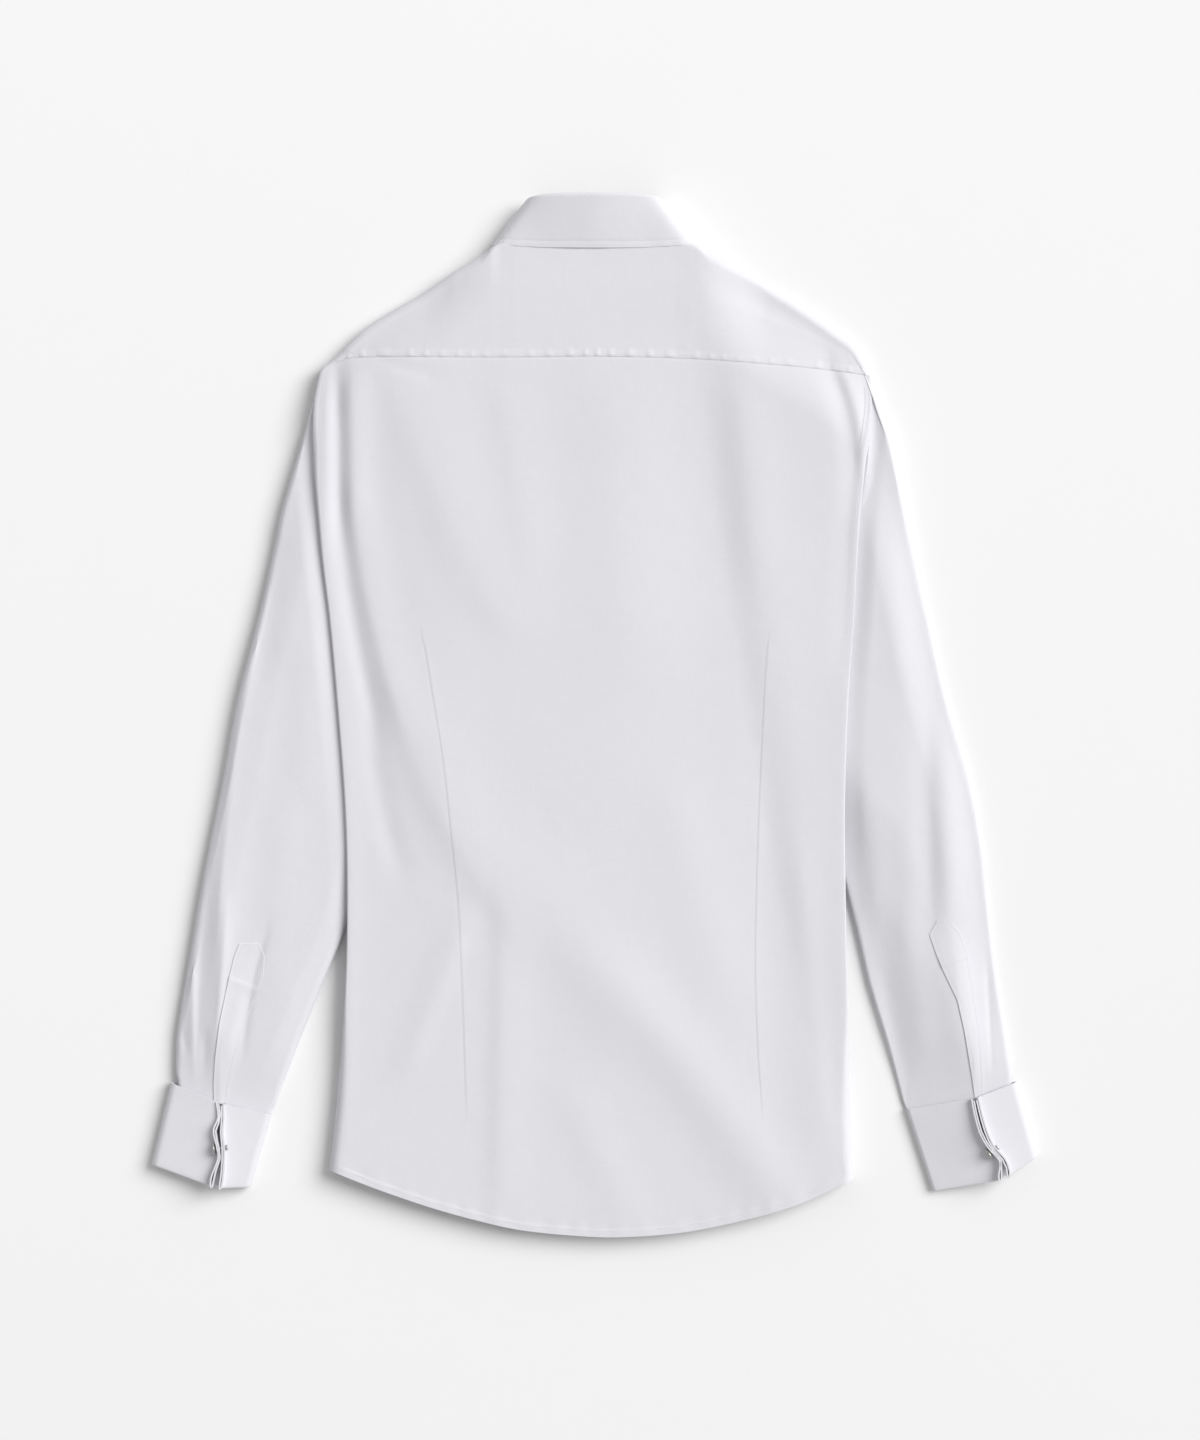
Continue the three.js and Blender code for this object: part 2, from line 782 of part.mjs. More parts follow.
// The armhole ring: down the back's seam, round the armpit, up the front armhole and round
// the yoke's end, each point moved off the body's cloth by a seam's gap.
function armholeRing(side) {
  const sign = side === "left" ? -1 : 1;
  const ring = [];
  for (let i = 0; i < RING_TOP; i++) {
    const y = mix(262, 124, i / (RING_TOP - 1));
    const section = sideSection(side, y, ARC_STEPS, TAIL_STEPS);
    const [x, z] = section[section.length - 1];
    const turn = read(SIDE_ROLL, "y", y, "turn");
    const angle = THREE.MathUtils.degToRad(turn);
    const below = ease(60, 120, turn);
    const aside = mix(1.1 * Math.cos(angle) + 0.25, 1.2, below);
    const down = mix(1.1 * Math.sin(angle), 1.7, below);
    ring.push(new THREE.Vector3(x + sign * aside, y, z - down));
  }
  const seamX = frontSideX(side, ARMPIT_Y);
  for (let i = 0; i < RING_END; i++) {
    const z = mix(11.4, 9.4, i);
    ring.push(new THREE.Vector3(seamX + sign * 2.5, mix(115, 113, i), z));
  }
  for (let i = 0; i < RING_BOTTOM; i++) {
    const y = mix(120, 246, i / (RING_BOTTOM - 1));
    const x = frontSideX(side, y);
    const lift = underHeight(x, y) - FLOOR;
    const aside = 0.5 + 3.5 * clamp(lift / BODY_LIFT, 0, 1);
    ring.push(new THREE.Vector3(x + sign * aside, y, FLOOR + lift * 0.55));
  }
  const { points } = yokeLine(sign * 213, YOKE_TOP_STEPS, YOKE_WRAP_STEPS);
  for (let i = 0; i < RING_END; i++) {
    const p = points[points.length - 2 - 2 * i].clone();
    ring.push(p.add(new THREE.Vector3(sign * 0.9, -0.8, 0)));
  }
  return ring;
}

// A flattened ring between the sleeve's outer and inner edges, its under layer on the plane
// and its upper layer at sleeveHeight, with round ends.
function sleeveRing(side, { outer, inner, bow, puff, lift, tuck }) {
  const sign = side === "left" ? -1 : 1;
  const from = new THREE.Vector2(read(SLEEVE_OUTER, "y", outer, side) - sign * tuck, outer);
  const to = new THREE.Vector2(read(SLEEVE_INNER, "y", inner, side) + sign * tuck, inner);
  const length = from.distanceTo(to);
  const outwards = new THREE.Vector2(sign * (outer - inner), Math.abs(to.x - from.x) * -1);
  outwards.normalize();
  const bottom = FLOOR + lift;
  const heightAt = (p) => sleeveHeight(side, p.x, p.y, puff);
  const ring = [];
  const radiusAt = (p) => (heightAt(p) - bottom) / 2;
  const outerRadius = radiusAt(from);
  const innerRadius = radiusAt(to);
  const place = (distance) => {
    const t = distance / length;
    return from.clone().lerp(to, t).addScaledVector(outwards, 4 * bow * t * (1 - t));
  };
  const push = (distance, z) => {
    const p = place(distance);
    ring.push(new THREE.Vector3(p.x, p.y, z));
  };
  const last = length - innerRadius;
  for (let i = 0; i < RING_TOP; i++) {
    const distance = mix(outerRadius, last, i / (RING_TOP - 1));
    push(distance, heightAt(place(distance)));
  }
  const turns = [30, -30].map(THREE.MathUtils.degToRad);
  for (const angle of turns) {
    const middle = bottom + innerRadius;
    push(last + innerRadius * Math.cos(angle), middle + innerRadius * Math.sin(angle));
  }
  for (let i = 0; i < RING_BOTTOM; i++) {
    push(mix(last, outerRadius, i / (RING_BOTTOM - 1)), bottom);
  }
  for (const angle of turns.reverse()) {
    const middle = bottom + outerRadius;
    push(outerRadius * (1 - Math.cos(angle)), middle + outerRadius * Math.sin(angle));
  }
  return ring;
}

function makeSleeve(side) {
  const armhole = armholeRing(side);
  const rings = SLEEVE_RINGS.map((row) => sleeveRing(side, row));
  const next = armhole.map((p, i) => {
    const between = p.clone().lerp(rings[0][i], 0.4);
    const edge = Math.abs(read(BODY_EDGE, "y", between.y, side));
    const free = ease(edge - 1, edge + 4, Math.abs(between.x));
    between.z = Math.min(between.z, SLEEVE_TOP + 8 * free);
    return between;
  });
  const grid = [armhole, next, ...rings];
  return makeMesh(`sleeve_${side}`, wall(grid, CLOTH, true), "poplin");
}

// A placket lies on the sleeve's upper layer.
function makeSleevePlacket(side) {
  const rows = SLEEVE_PLACKET[side];
  const lift = (CLOTH + PLACKET_WALL) / 2 + 0.7;
  const grid = rows.map(({ y, from, to }) =>
    [0, 0.5, 1].map((t) => {
      const x = mix(from, to, t);
      return new THREE.Vector3(x, y, sleeveHeight(side, x, y, 0.3) + lift);
    }),
  );
  return makeMesh(`sleeve_placket_${side}`, wall(grid, PLACKET_WALL), "fused");
}

// ---------------------------------------------------------------- cuffs and cufflinks

// A section across the cuff: from one standing end, round the flattened band, to the other
// standing end. Given in the band's own plane as [across, height] with its outward normal.
function cuffSection(outerX, innerX, endsX) {
  const topLevel = CUFF_TOP_LEVEL - CUFF_LAYER;
  const underLevel = CUFF_OUTER_LEVEL + CUFF_LAYER;
  const radius = (topLevel - underLevel) / 2;
  const inset = CUFF_LAYER + CUFF_WALL / 2;
  const half = CUFF_LAYER / 2;
  const points = [];
  const line = (x0, z0, x1, z1, steps, nx, nz) => {
    for (let i = 0; i < steps; i++) {
      points.push({ x: mix(x0, x1, i / steps), z: mix(z0, z1, i / steps), nx, nz });
    }
  };
  const arc = (cx, cz, r, from, to, steps, flip) => {
    for (let i = 0; i < steps; i++) {
      const angle = THREE.MathUtils.degToRad(mix(from, to, i / steps));
      const [nx, nz] = [Math.cos(angle) * flip, Math.sin(angle) * flip];
      points.push({ x: cx + r * Math.cos(angle), z: cz + r * Math.sin(angle), nx, nz });
    }
  };
  const lowX = Math.min(outerX, innerX) + inset;
  const highX = Math.max(outerX, innerX) - inset;
  const base = topLevel + CUFF_BEND;
  const middle = (topLevel + underLevel) / 2;
  line(endsX - half, CUFF_FIN_TOP, endsX - half, base, 2, -1, 0);
  arc(endsX - half - CUFF_BEND, base, CUFF_BEND, 0, -90, 3, -1);
  line(endsX - half - CUFF_BEND, topLevel, lowX + radius, topLevel, 2, 0, 1);
  arc(lowX + radius, middle, radius, 90, 270, 4, 1);
  line(lowX + radius, underLevel, highX - radius, underLevel, 3, 0, -1);
  arc(highX - radius, middle, radius, -90, 90, 4, 1);
  line(highX - radius, topLevel, endsX + half + CUFF_BEND, topLevel, 2, 0, 1);
  arc(endsX + half + CUFF_BEND, base, CUFF_BEND, 270, 180, 3, -1);
  line(endsX + half, base, endsX + half, CUFF_FIN_TOP, 2, 1, 0);
  points.push({ x: endsX + half, z: CUFF_FIN_TOP, nx: 1, nz: 0 });
  return points;
}

// Rows of the double cuff from the inner layer's edge down to the wrist fold and back up to
// the turned-back edge: how far along the band, and how far out from the inner layer.
function cuffRows(length) {
  const rows = [];
  const inner = CUFF_UNDERLAP / length;
  const bend = CUFF_LAYER / 2 / length;
  const fold = 1 - bend - CUFF_WALL / 2 / length;
  for (const t of [0, 0.5]) rows.push({ along: mix(inner, fold, t), out: 0 });
  for (const degrees of [-90, 0, 90]) {
    const angle = THREE.MathUtils.degToRad(degrees);
    const out = (CUFF_LAYER / 2) * (1 + Math.sin(angle));
    rows.push({ along: fold + bend * Math.cos(angle), out });
  }
  for (const t of [0.66, 0.33, 0]) rows.push({ along: mix(0, fold, t), out: CUFF_LAYER });
  return rows;
}

function cuffPoint(cuff, along) {
  const at = (edge) => edge.top.map((v, i) => mix(v, edge.wrist[i], along));
  const [outerX, outerY] = at(cuff.outer);
  const [innerX, innerY] = at(cuff.inner);
  const endsX = read(cuff.ends, "along", along, "x");
  const endsY = read(cuff.ends, "along", along, "y");
  return { outerX, outerY, innerX, innerY, endsX, endsY };
}

function cuffGrid(side) {
  const cuff = CUFF[side];
  const rise = cuff.outer.top[1] - cuff.outer.wrist[1];
  const run = cuff.outer.top[0] - cuff.outer.wrist[0];
  return cuffRows(Math.hypot(rise, run)).map(({ along, out }) => {
    const { outerX, outerY, innerX, innerY, endsX, endsY } = cuffPoint(cuff, along);
    return cuffSection(outerX, innerX, endsX).map(({ x, z, nx, nz }) => {
      const px = x + nx * out;
      const outward = px < endsX === outerX < endsX;
      const [farX, farY] = outward ? [outerX, outerY] : [innerX, innerY];
      const y = mix(endsY, farY, clamp((px - endsX) / (farX - endsX), 0, 1));
      return new THREE.Vector3(px, y, z + nz * out);
    });
  });
}

const LINK_ALONG = 0.62;

function linkPlace(side) {
  const { endsX, endsY } = cuffPoint(CUFF[side], LINK_ALONG);
  return new THREE.Vector3(endsX, endsY, LINK_LEVEL);
}

// How far the meeting ends are turned about the vertical where the link passes them.
function linkTurn(side) {
  const above = cuffPoint(CUFF[side], LINK_ALONG - 0.1);
  const below = cuffPoint(CUFF[side], LINK_ALONG + 0.1);
  return Math.atan2(below.endsX - above.endsX, above.endsY - below.endsY);
}

// A turned piece about the line through the meeting ends, from radius and length pairs.
function turned(profile, side, segments) {
  const points = profile.map(([radius, length]) => new THREE.Vector2(radius, length));
  const geometry = new THREE.LatheGeometry(points, segments);
  geometry.rotateZ(-Math.PI / 2);
  geometry.rotateZ(linkTurn(side));
  const { x, y, z } = linkPlace(side);
  geometry.translate(x, y, z);
  return geometry;
}

function makeCuff(side) {
  const band = toManifold(wall(cuffGrid(side), CUFF_WALL));
  const reach = 12;
  const hole = turned(
    [[0, -reach], [LINK_HOLE, -reach], [LINK_HOLE, reach], [0, reach]],
    side,
    12,
  );
  return makeMesh(`cuff_${side}`, fromManifold(band.subtract(toManifold(hole))), "fused");
}

// A cufflink: face disc on the left of the standing ends, post through them, toggle beyond.
function makeCufflink(side) {
  const clear = CUFF_LAYER * 1.5 + CUFF_WALL / 2 + 1.8;
  const disc = 2.4;
  const toggle = 3.6;
  const profile = [
    [0, -clear - disc],
    [LINK_DISC - 1, -clear - disc],
    [LINK_DISC, -clear - disc + 0.7],
    [LINK_DISC, -clear],
    [LINK_POST, -clear],
    [LINK_POST, clear],
    [toggle, clear],
    [toggle, clear + 3],
    [0, clear + 3],
  ];
  return makeMesh(`cufflink_${side}`, turned(profile, side, 16), "link");
}

// ---------------------------------------------------------------- collar

function collarStations(half) {
  const mirrored = half.slice(1).map((row) => ({ ...row, mirror: true }));
  return [...mirrored.reverse(), ...half];
}

function makeCollarLeaf() {
  const grid = collarStations(COLLAR_LEAF).map((row) => {
    const sign = row.mirror ? -1 : 1;
    const fold = new THREE.Vector3(sign * row.fold_x, row.fold_y, row.fold_z);
    const edge = new THREE.Vector3(sign * row.edge_x, row.edge_y, row.edge_z);
    return [0, 0.33, 0.67, 1].map((t) => fold.clone().lerp(edge, t));
  });
  return makeMesh("collar_leaf", wall(grid, COLLAR_WALL), "fused");
}

// Upper edge of the stand, just inside the leaf's fold, and its lower edge, the neck seam:
// first by its place along the yoke's edge, then by distance from the middle on the fronts.
const STAND = table(
  ["x", "y", "z", "yoke", "front"],
  [
    [0, 402.5, 24.2, 0, 0],
    [22, 402.3, 24.2, 30, 0],
    [38, 401.5, 23.4, 58, 0],
    [44.5, 400.8, 20, 62, 0],
    [46.5, 399.5, 14, 65, 0],
    [47.5, 396, 8, 67, 0],
    [49, 388, 3.7, 69, 0],
    [51.5, 375, 3.7, 71.5, 0],
    [53.5, 354, 3.7, 74, 0],
    [50.5, 340, 3.7, 0, 70.5],
    [46.5, 330, 3.7, 0, 65],
    [37, 314, 3.7, 0, 55],
    [25, 303, 3.7, 0, 42],
    [12, 297, 3.7, 0, 27],
    [-10, 293, 3.7, 0, -8],
  ],
);
const STAND_WALL = 1.6;
const STAND_OVERLAP = 2.1; // the right end lies this far above the left end

function makeCollarStand() {
  const station = (row, sign) => {
    const top = new THREE.Vector3(sign * row.x, row.y, row.z);
    let low;
    if (row.front) {
      const seam = new THREE.Vector2(row.front, read(FRONT_NECK, "out", Math.abs(row.front), "y"));
      const inwards = new THREE.Vector2(...NECK_CENTRE).sub(seam).setLength(1.8);
      seam.add(inwards);
      low = new THREE.Vector3(sign * seam.x, seam.y, row.z);
    } else {
      const { points, ending } = yokeLine(sign * row.yoke, YOKE_TOP_STEPS, YOKE_WRAP_STEPS);
      const aside = new THREE.Vector3(-sign * 0.95, -0.3, 0);
      const reach = mix(1.4, 2.2, ease(69, 74, row.yoke));
      const off = ending.lerp(aside, ease(64, 69, row.yoke)).setLength(reach);
      low = points[points.length - 1].clone().add(off);
    }
    const over = sign > 0 ? STAND_OVERLAP * ease(42, 12, row.front || 50) : 0;
    return [0, 0.5, 1].map((t) => {
      const p = top.clone().lerp(low, t);
      p.z += over;
      return p;
    });
  };
  const left = STAND.slice(1).map((row) => station(row, -1));
  const right = STAND.map((row) => station(row, 1));
  return makeMesh("collar_stand", wall([...left.reverse(), ...right], STAND_WALL), "fused");
}

// ---------------------------------------------------------------- buttons

function makeButton(name, x, y) {
  const rim = 0.5;
  const profile = [
    [0, 0],
    [BUTTON_RADIUS - rim, 0],
    [BUTTON_RADIUS, rim],
    [BUTTON_RADIUS, BUTTON_HEIGHT - rim],
    [BUTTON_RADIUS - rim, BUTTON_HEIGHT],
    [0, BUTTON_HEIGHT],
  ].map(([radius, height]) => new THREE.Vector2(radius, height));
  const geometry = new THREE.LatheGeometry(profile, 12);
  geometry.rotateX(Math.PI / 2);
  const mesh = makeMesh(name, geometry, "button");
  mesh.position.set(x, y, 0);
  return mesh;
}

// ---------------------------------------------------------------- the shirt

const shirt = new THREE.Group();
const body = new THREE.Group();
body.add(makeBack(), makeYoke(), makeFront("left"), makeFront("right"), makeFrontPlacket());
const sleeves = new THREE.Group();
const cuffs = new THREE.Group();
for (const side of ["left", "right"]) {
  sleeves.add(makeSleeve(side), makeSleevePlacket(side));
  cuffs.add(makeCuff(side), makeCufflink(side));
}
const collar = new THREE.Group();
collar.add(makeCollarLeaf(), makeCollarStand());
const buttons = new THREE.Group();
for (let i = 0; i < BUTTON_COUNT; i++) {
  buttons.add(makeButton(`button_${i + 1}`, 0, BUTTON_TOP_Y - i * BUTTON_PITCH));
}
buttons.add(makeButton("collar_button", 0, 276));
shirt.add(body, sleeves, cuffs, collar, buttons);

export default shirt;
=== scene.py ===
"""A white long sleeve dress shirt laid flat on its front, seen from straight above: poplin with a
turned-down collar, a yoke, two back darts, tower sleeve plackets and double cuffs with cufflinks.

Sizes are millimetres until a mesh is made, and the frame's metres from then on. The shirt lies on
z = 0, +Y runs from the hem to the collar, and "left" is the side of -X. Heights are those of the
middle of the cloth.
"""

import math

import bpy
import numpy as np
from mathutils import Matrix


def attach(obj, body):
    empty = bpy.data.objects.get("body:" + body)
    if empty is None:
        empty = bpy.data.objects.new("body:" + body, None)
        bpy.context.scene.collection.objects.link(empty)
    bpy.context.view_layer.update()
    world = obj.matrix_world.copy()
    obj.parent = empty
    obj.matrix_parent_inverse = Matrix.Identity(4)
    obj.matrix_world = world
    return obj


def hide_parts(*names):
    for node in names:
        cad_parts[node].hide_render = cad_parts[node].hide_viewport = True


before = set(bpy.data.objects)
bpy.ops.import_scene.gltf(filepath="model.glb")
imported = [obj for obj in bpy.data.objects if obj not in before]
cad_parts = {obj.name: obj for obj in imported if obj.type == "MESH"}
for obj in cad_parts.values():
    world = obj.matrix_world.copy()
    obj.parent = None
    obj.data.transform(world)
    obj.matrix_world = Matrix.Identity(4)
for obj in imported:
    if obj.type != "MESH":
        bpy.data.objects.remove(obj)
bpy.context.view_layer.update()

MM = 0.001
SIDES = {"left": -1, "right": 1}

# ---------------------------------------------------------------- driving sizes

CLOTH = 0.55  # poplin
FUSED = 1.1  # collar and cuffs, with their interlining
FLOOR = 0.6  # middle of a layer that lies on the plane
SIDE_SEAM_INSET = 22  # the back wraps round each side by this much
YOKE_WRAP = 30  # and the yoke over the shoulders
SLEEVE_TOP = 12.4  # a flat sleeve's upper layer
BODY_LIFT = 13.2  # rise of the body's under layer over a sleeve
LIFT_RAMP = (52, 22)  # that rise starts and ends this far inside the sleeve's inner edge
# How far the top layer falls towards each shoulder's edge, and over what distance.
SHOULDER_DROP = {"left": (6, 48), "right": (12, 66)}
NECK_CENTRE = (0, 330)
COLLAR_LIFT = 2.8  # the fronts ride over the collar leaf by this much
COLLAR_LIFT_REACH = (140, 116)  # from nothing to all of it, by distance from the neck's centre
ARMPIT_Y = 118

PLACKET_WIDTH = 35  # of the front placket
PLACKET_LEVEL = 3.2
UNDERLAP_LEVEL = 5.1  # the right front's edge, above the placket
UNDERLAP_REACH = -15  # and how far past the middle it runs
PLACKET_RAMP = 30
PLACKET_LIFT = 0.66  # of a sleeve placket above its sleeve

BUTTON_RADIUS = 5.5
BUTTON_HEIGHT = 2.2
BUTTON_PITCH = 85
BUTTON_TOP_Y = 205
BUTTON_COUNT = 7
COLLAR_BUTTON_Y = 276
HOLE_OUT = 1.5  # from a button's middle to each of its four holes

HEM_WIDTH = 6
YOKE_STITCH = 5.5  # from the yoke seam up to its topstitching
LEAF_STITCH = 5  # from the collar leaf's edge to its topstitching

CUFF_WALL = 1.2
CUFF_LAYER = 1.5  # from the inner layer to the turned-back layer
CUFF_OUTER_LEVEL = 0.9  # turned-back layer on the under side
CUFF_BEND = 2.2  # where the slopes turn up into the standing ends
CUFF_UNDERLAP = 1.6  # the inner layer starts this far below the turned-back edge
# Heights of each cuff's inner layer: at its side edges, where the slopes meet the standing ends,
# and of the standing ends at the turned-back edge and beyond.
CUFF_LEVELS = {
    "left": {"outer": 10.0, "inner": 9.5, "base": 12.6, "low_fin": 16.0, "fin": 20.6},
    "right": {"outer": 10.0, "inner": 4.8, "base": 13.2, "low_fin": 19.0, "fin": 21.0},
}
CUFF_TUCK = 1.7  # the sleeve's end lies this far below the cuff's inner layer
LINK_LEVEL = 17.9
LINK_ALONG = 0.62  # share of the way from the turned-back edge to the wrist fold
LINK_FACE = 4.5  # radius of the face disc, without its rounded rim
LINK_RIM = 0.5
LINK_POST = 1.3
LINK_TOGGLE = 1.7


def table(names, rows):
    """Columns by name, from rows of numbers."""
    return dict(zip(names.split(), np.array(rows, float).T))


# ---------------------------------------------------------------- outlines

BODY_EDGE = table("y left right", [
    (270, -213, 214.5),
    (246, -217.5, 216),
    (223, -219, 214.5),
    (200, -218.7, 211.8),
    (165, -216, 207.8),
    (121, -212, 204.5),
    (76, -206.5, 202.3),
    (14, -200.8, 197.8),
    (-73, -194.3, 195),
    (-145, -192.7, 195.7),
    (-214, -194.2, 197),
    (-292, -200.1, 199),
    (-331, -204, 200.2),
    (-362, -207.5, 201.8),
])

HEM = table("x y", [
    (-207, -354.5),
    (-167, -370),
    (-128, -383.5),
    (-93, -393.5),
    (-58, -401.3),
    (-11, -406),
    (20, -406.6),
    (67, -402.9),
    (113.5, -393.5),
    (160, -380.2),
    (202, -361),
])

YOKE_SEAM = table("x y", [
    (-213, 269),
    (-204, 274.8),
    (-192, 278.4),
    (-170, 279.4),
    (-74, 279),
    (4, 279.6),
    (74, 278),
    (129, 274.2),
    (176, 270.3),
    (214, 265.6),
])

SHOULDER = table("out left right", [
    (0, 370.8, 370.8),
    (60, 370.8, 370.8),
    (66, 370, 370.2),
    (72, 369.2, 369.2),
    (76, 367.6, 368.4),
    (80, 365.2, 367),
    (84, 361.6, 365.4),
    (97, 353.4, 357.8),
    (110, 345.8, 349.4),
    (133, 330, 335.8),
    (156, 316.8, 321.9),
    (180, 301.6, 305.8),
    (191, 291.4, 297.6),
    (204, 278, 287.4),
    (213.5, 271.5, 271.5),
])

TOP_LAYER = table("y middle side", [
    (380, 20.8, 20.8),
    (330, 21.8, 21.8),
    (275, 21.5, 21.5),
    (200, 19.8, 18.4),
    (121, 19.4, 16.2),
    (0, 19, 15.8),
    (-100, 18.6, 15.8),
    (-190, 18, 15.8),
    (-270, 17.2, 15.8),
    (-340, 16, 16.2),
    (-410, 15.2, 15.2),
])

SIDE_ROLL = table("y turn radius tail", [
    (270, 30, 4, 0.5),
    (235, 36, 4, 0.5),
    (205, 80, 4, 0.5),
    (175, 160, 3, 0.8),
    (150, 180, 5.4, 5),
    (118, 180, 5.7, 16.3),
])

# The two darts of the back, carried on straight above and below their ends.
DARTS = table("y left right", [
    (290, -160, 155),
    (71, -136, 137),
    (51, -132, 134.5),
    (20, -126.8, 132.5),
    (-35, -118, 129.9),
    (-97, -111.2, 127.3),
    (-144, -106.5, 126),
    (-191, -104.1, 125.2),
    (-253, -101.8, 126.8),
    (-310, -100.2, 130.7),
    (-410, -98, 138),
])
DART_TOP = 73
DART_END = -318

SLEEVE_INNER = table("y left right", [
    (120, -185, 177),
    (104, -176, 168),
    (84, -169, 159),
    (51, -161, 148),
    (12, -157, 143),
    (-27, -159.5, 150),
    (-66, -167, 168),
    (-105, -177, 188),
    (-160, -192.3, 203.2),
    (-210, -213, 214.9),
    (-261, -233.5, 230.5),
    (-312, -252.5, 244.5),
])

SLEEVE_OUTER = table("y left right", [
    (262, -214.5, 216.5),
    (240, -221, 223.2),
    (207, -230.5, 232.8),
    (161, -244, 242.4),
    (131, -250.2, 248.6),
    (78, -262, 260.3),
    (14, -278.4, 274.6),
    (-50, -290.2, 293),
    (-101, -300.7, 302.5),
    (-142, -308.5, 306.9),
    (-192, -316.8, 312.5),
    (-229, -323.3, 317.9),
    (-250, -326.4, 321.5),
    (-287, -327.6, 328),
    (-300, -328.4, 331),
])

SLEEVE_RINGS = table("step outer inner bow puff lift tuck", [
    (0, 222, 84, 10, 1.5, 0, 0),
    (1, 190, 60, 4, 2, 0, 0),
    (2, 148, 32, 1, 2.6, 0, 0),
    (3, 98, 0, 0, 2.2, 0, 0),
    (4, 46, -38, 0, 1.4, 0, 0),
    (5, -6, -76, 0, 1.0, 0, 0),
    (6, -56, -113, 0, 0.8, 0, 0),
    (7, -104, -150, 0, 0.6, 0, 0),
    (8, -160, -196, 0, 0.4, 0, 0),
    (9, -218, -246, 0, 0.2, 0, 0),
    (10, -262, -286, 0, 0, 0, 0),
    (11, -278, -302, 0, 0, 1.4, 0.3),
    (12, -284.5, -309, 0, 0, 2.3, 1.6),
    (13, -292, -316, 0, 0, 2.3, 2.6),
])

FRONT_ARMHOLE = table("y left right", [
    (250, -190, 190), (215, -187, 184), (180, -185, 179), (150, -185.5, 178.5), (118, -190, 182.4)
])

FRONT_NECK = table("out y", [
    (0, 262), (20, 265.5), (38, 275), (52, 290), (62, 307), (69, 326), (72.5, 339)
])

SLEEVE_PLACKET = {
    "left": table("y from to", [
        (-178, -277, -262),
        (-188, -281, -257.6),
        (-203, -284.6, -258.6),
        (-216, -287.4, -264.2),
        (-240, -292.4, -273),
        (-268, -296, -281),
        (-288, -297.4, -285.5),
        (-303, -297, -287.5),
    ]),
    "right": table("y from to", [
        (-160, 267.5, 276),
        (-171, 261.5, 286),
        (-187, 267, 291.4),
        (-199, 272, 293.4),
        (-222, 283, 297),
        (-246, 288.4, 300.7),
        (-282, 294.6, 303.5),
        (-299, 297, 303),
    ]),
}

CUFF = {
    "left": {
        "outer": ((-331.2, -286.5), (-346.3, -350.6)),
        "inner": ((-252.3, -311.6), (-268.7, -368.6)),
        "ends": table("along x y gap", [
            (0, -292, -302.5, 1.2),
            (0.2, -291, -314, 0.6),
            (0.38, -293, -324, 2.0),
            (0.6, -291.2, -336, 1.4),
            (0.74, -290.6, -345, 0.8),
            (0.93, -294, -361.5, 3.0),
            (1, -295, -369.5, 2.6),
        ]),
    },
    "right": {
        "outer": ((330.2, -286), (346.4, -344.4)),
        "inner": ((243.8, -307.7), (264.8, -372.4)),
        "ends": table("along x y gap", [
            (0, 296.4, -298.5, 1.0),
            (0.2, 299, -311, 1.2),
            (0.4, 303, -325, 1.2),
            (0.58, 309, -336.5, 0.6),
            (0.76, 317.6, -346.7, 0.6),
            (0.93, 319, -358, 2.8),
            (1, 319.3, -362, 2.2),
        ]),
    },
}

COLLAR_LEAF = table("station fold_x fold_y fold_z edge_x edge_y edge_z", [
    (0, 0, 406, 27, 0, 364, 23.2),
    (1, 24, 405.8, 27, 38, 364.4, 23.2),
    (2, 42, 405, 26, 64, 365.8, 23.2),
    (3, 48.5, 404.6, 22, 73.5, 366.6, 21.6),
    (4, 50.5, 404.2, 17, 78, 366.6, 16.6),
    (5, 51, 404, 12, 80, 366.2, 10.6),
    (6, 52.5, 400, 5, 81, 365, 4.4),
    (7, 55, 390, 1.2, 82, 362, 1),
    (8, 57, 360, 1, 92, 344, 1),
    (9, 50, 328, 1, 84, 300, 1),
    (10, 27, 299, 1, 66, 256, 1),
    (11, 6, 289, 1, 50, 233, 1),
])

STAND = table("station x y z yoke front", [
    (0, 0, 402.5, 24.2, 0, 0),
    (1, 22, 402.3, 24.2, 30, 0),
    (2, 38, 401.5, 23.4, 58, 0),
    (3, 44.5, 400.8, 20, 62, 0),
    (4, 46.5, 399.5, 14, 65, 0),
    (5, 47.5, 396, 8, 67, 0),
    (6, 49, 388, 3.7, 69, 0),
    (7, 51.5, 375, 3.7, 71.5, 0),
    (8, 53.5, 354, 3.7, 74, 0),
    (9, 50.5, 340, 3.7, 0, 70.5),
    (10, 46.5, 330, 3.7, 0, 65),
    (11, 37, 314, 3.7, 0, 55),
    (12, 25, 303, 3.7, 0, 42),
    (13, 12, 297, 3.7, 0, 27),
    (14, -10, 293, 3.7, 0, -8),
])
STAND_OVERLAP = 2.1  # the right end lies this far above the left end
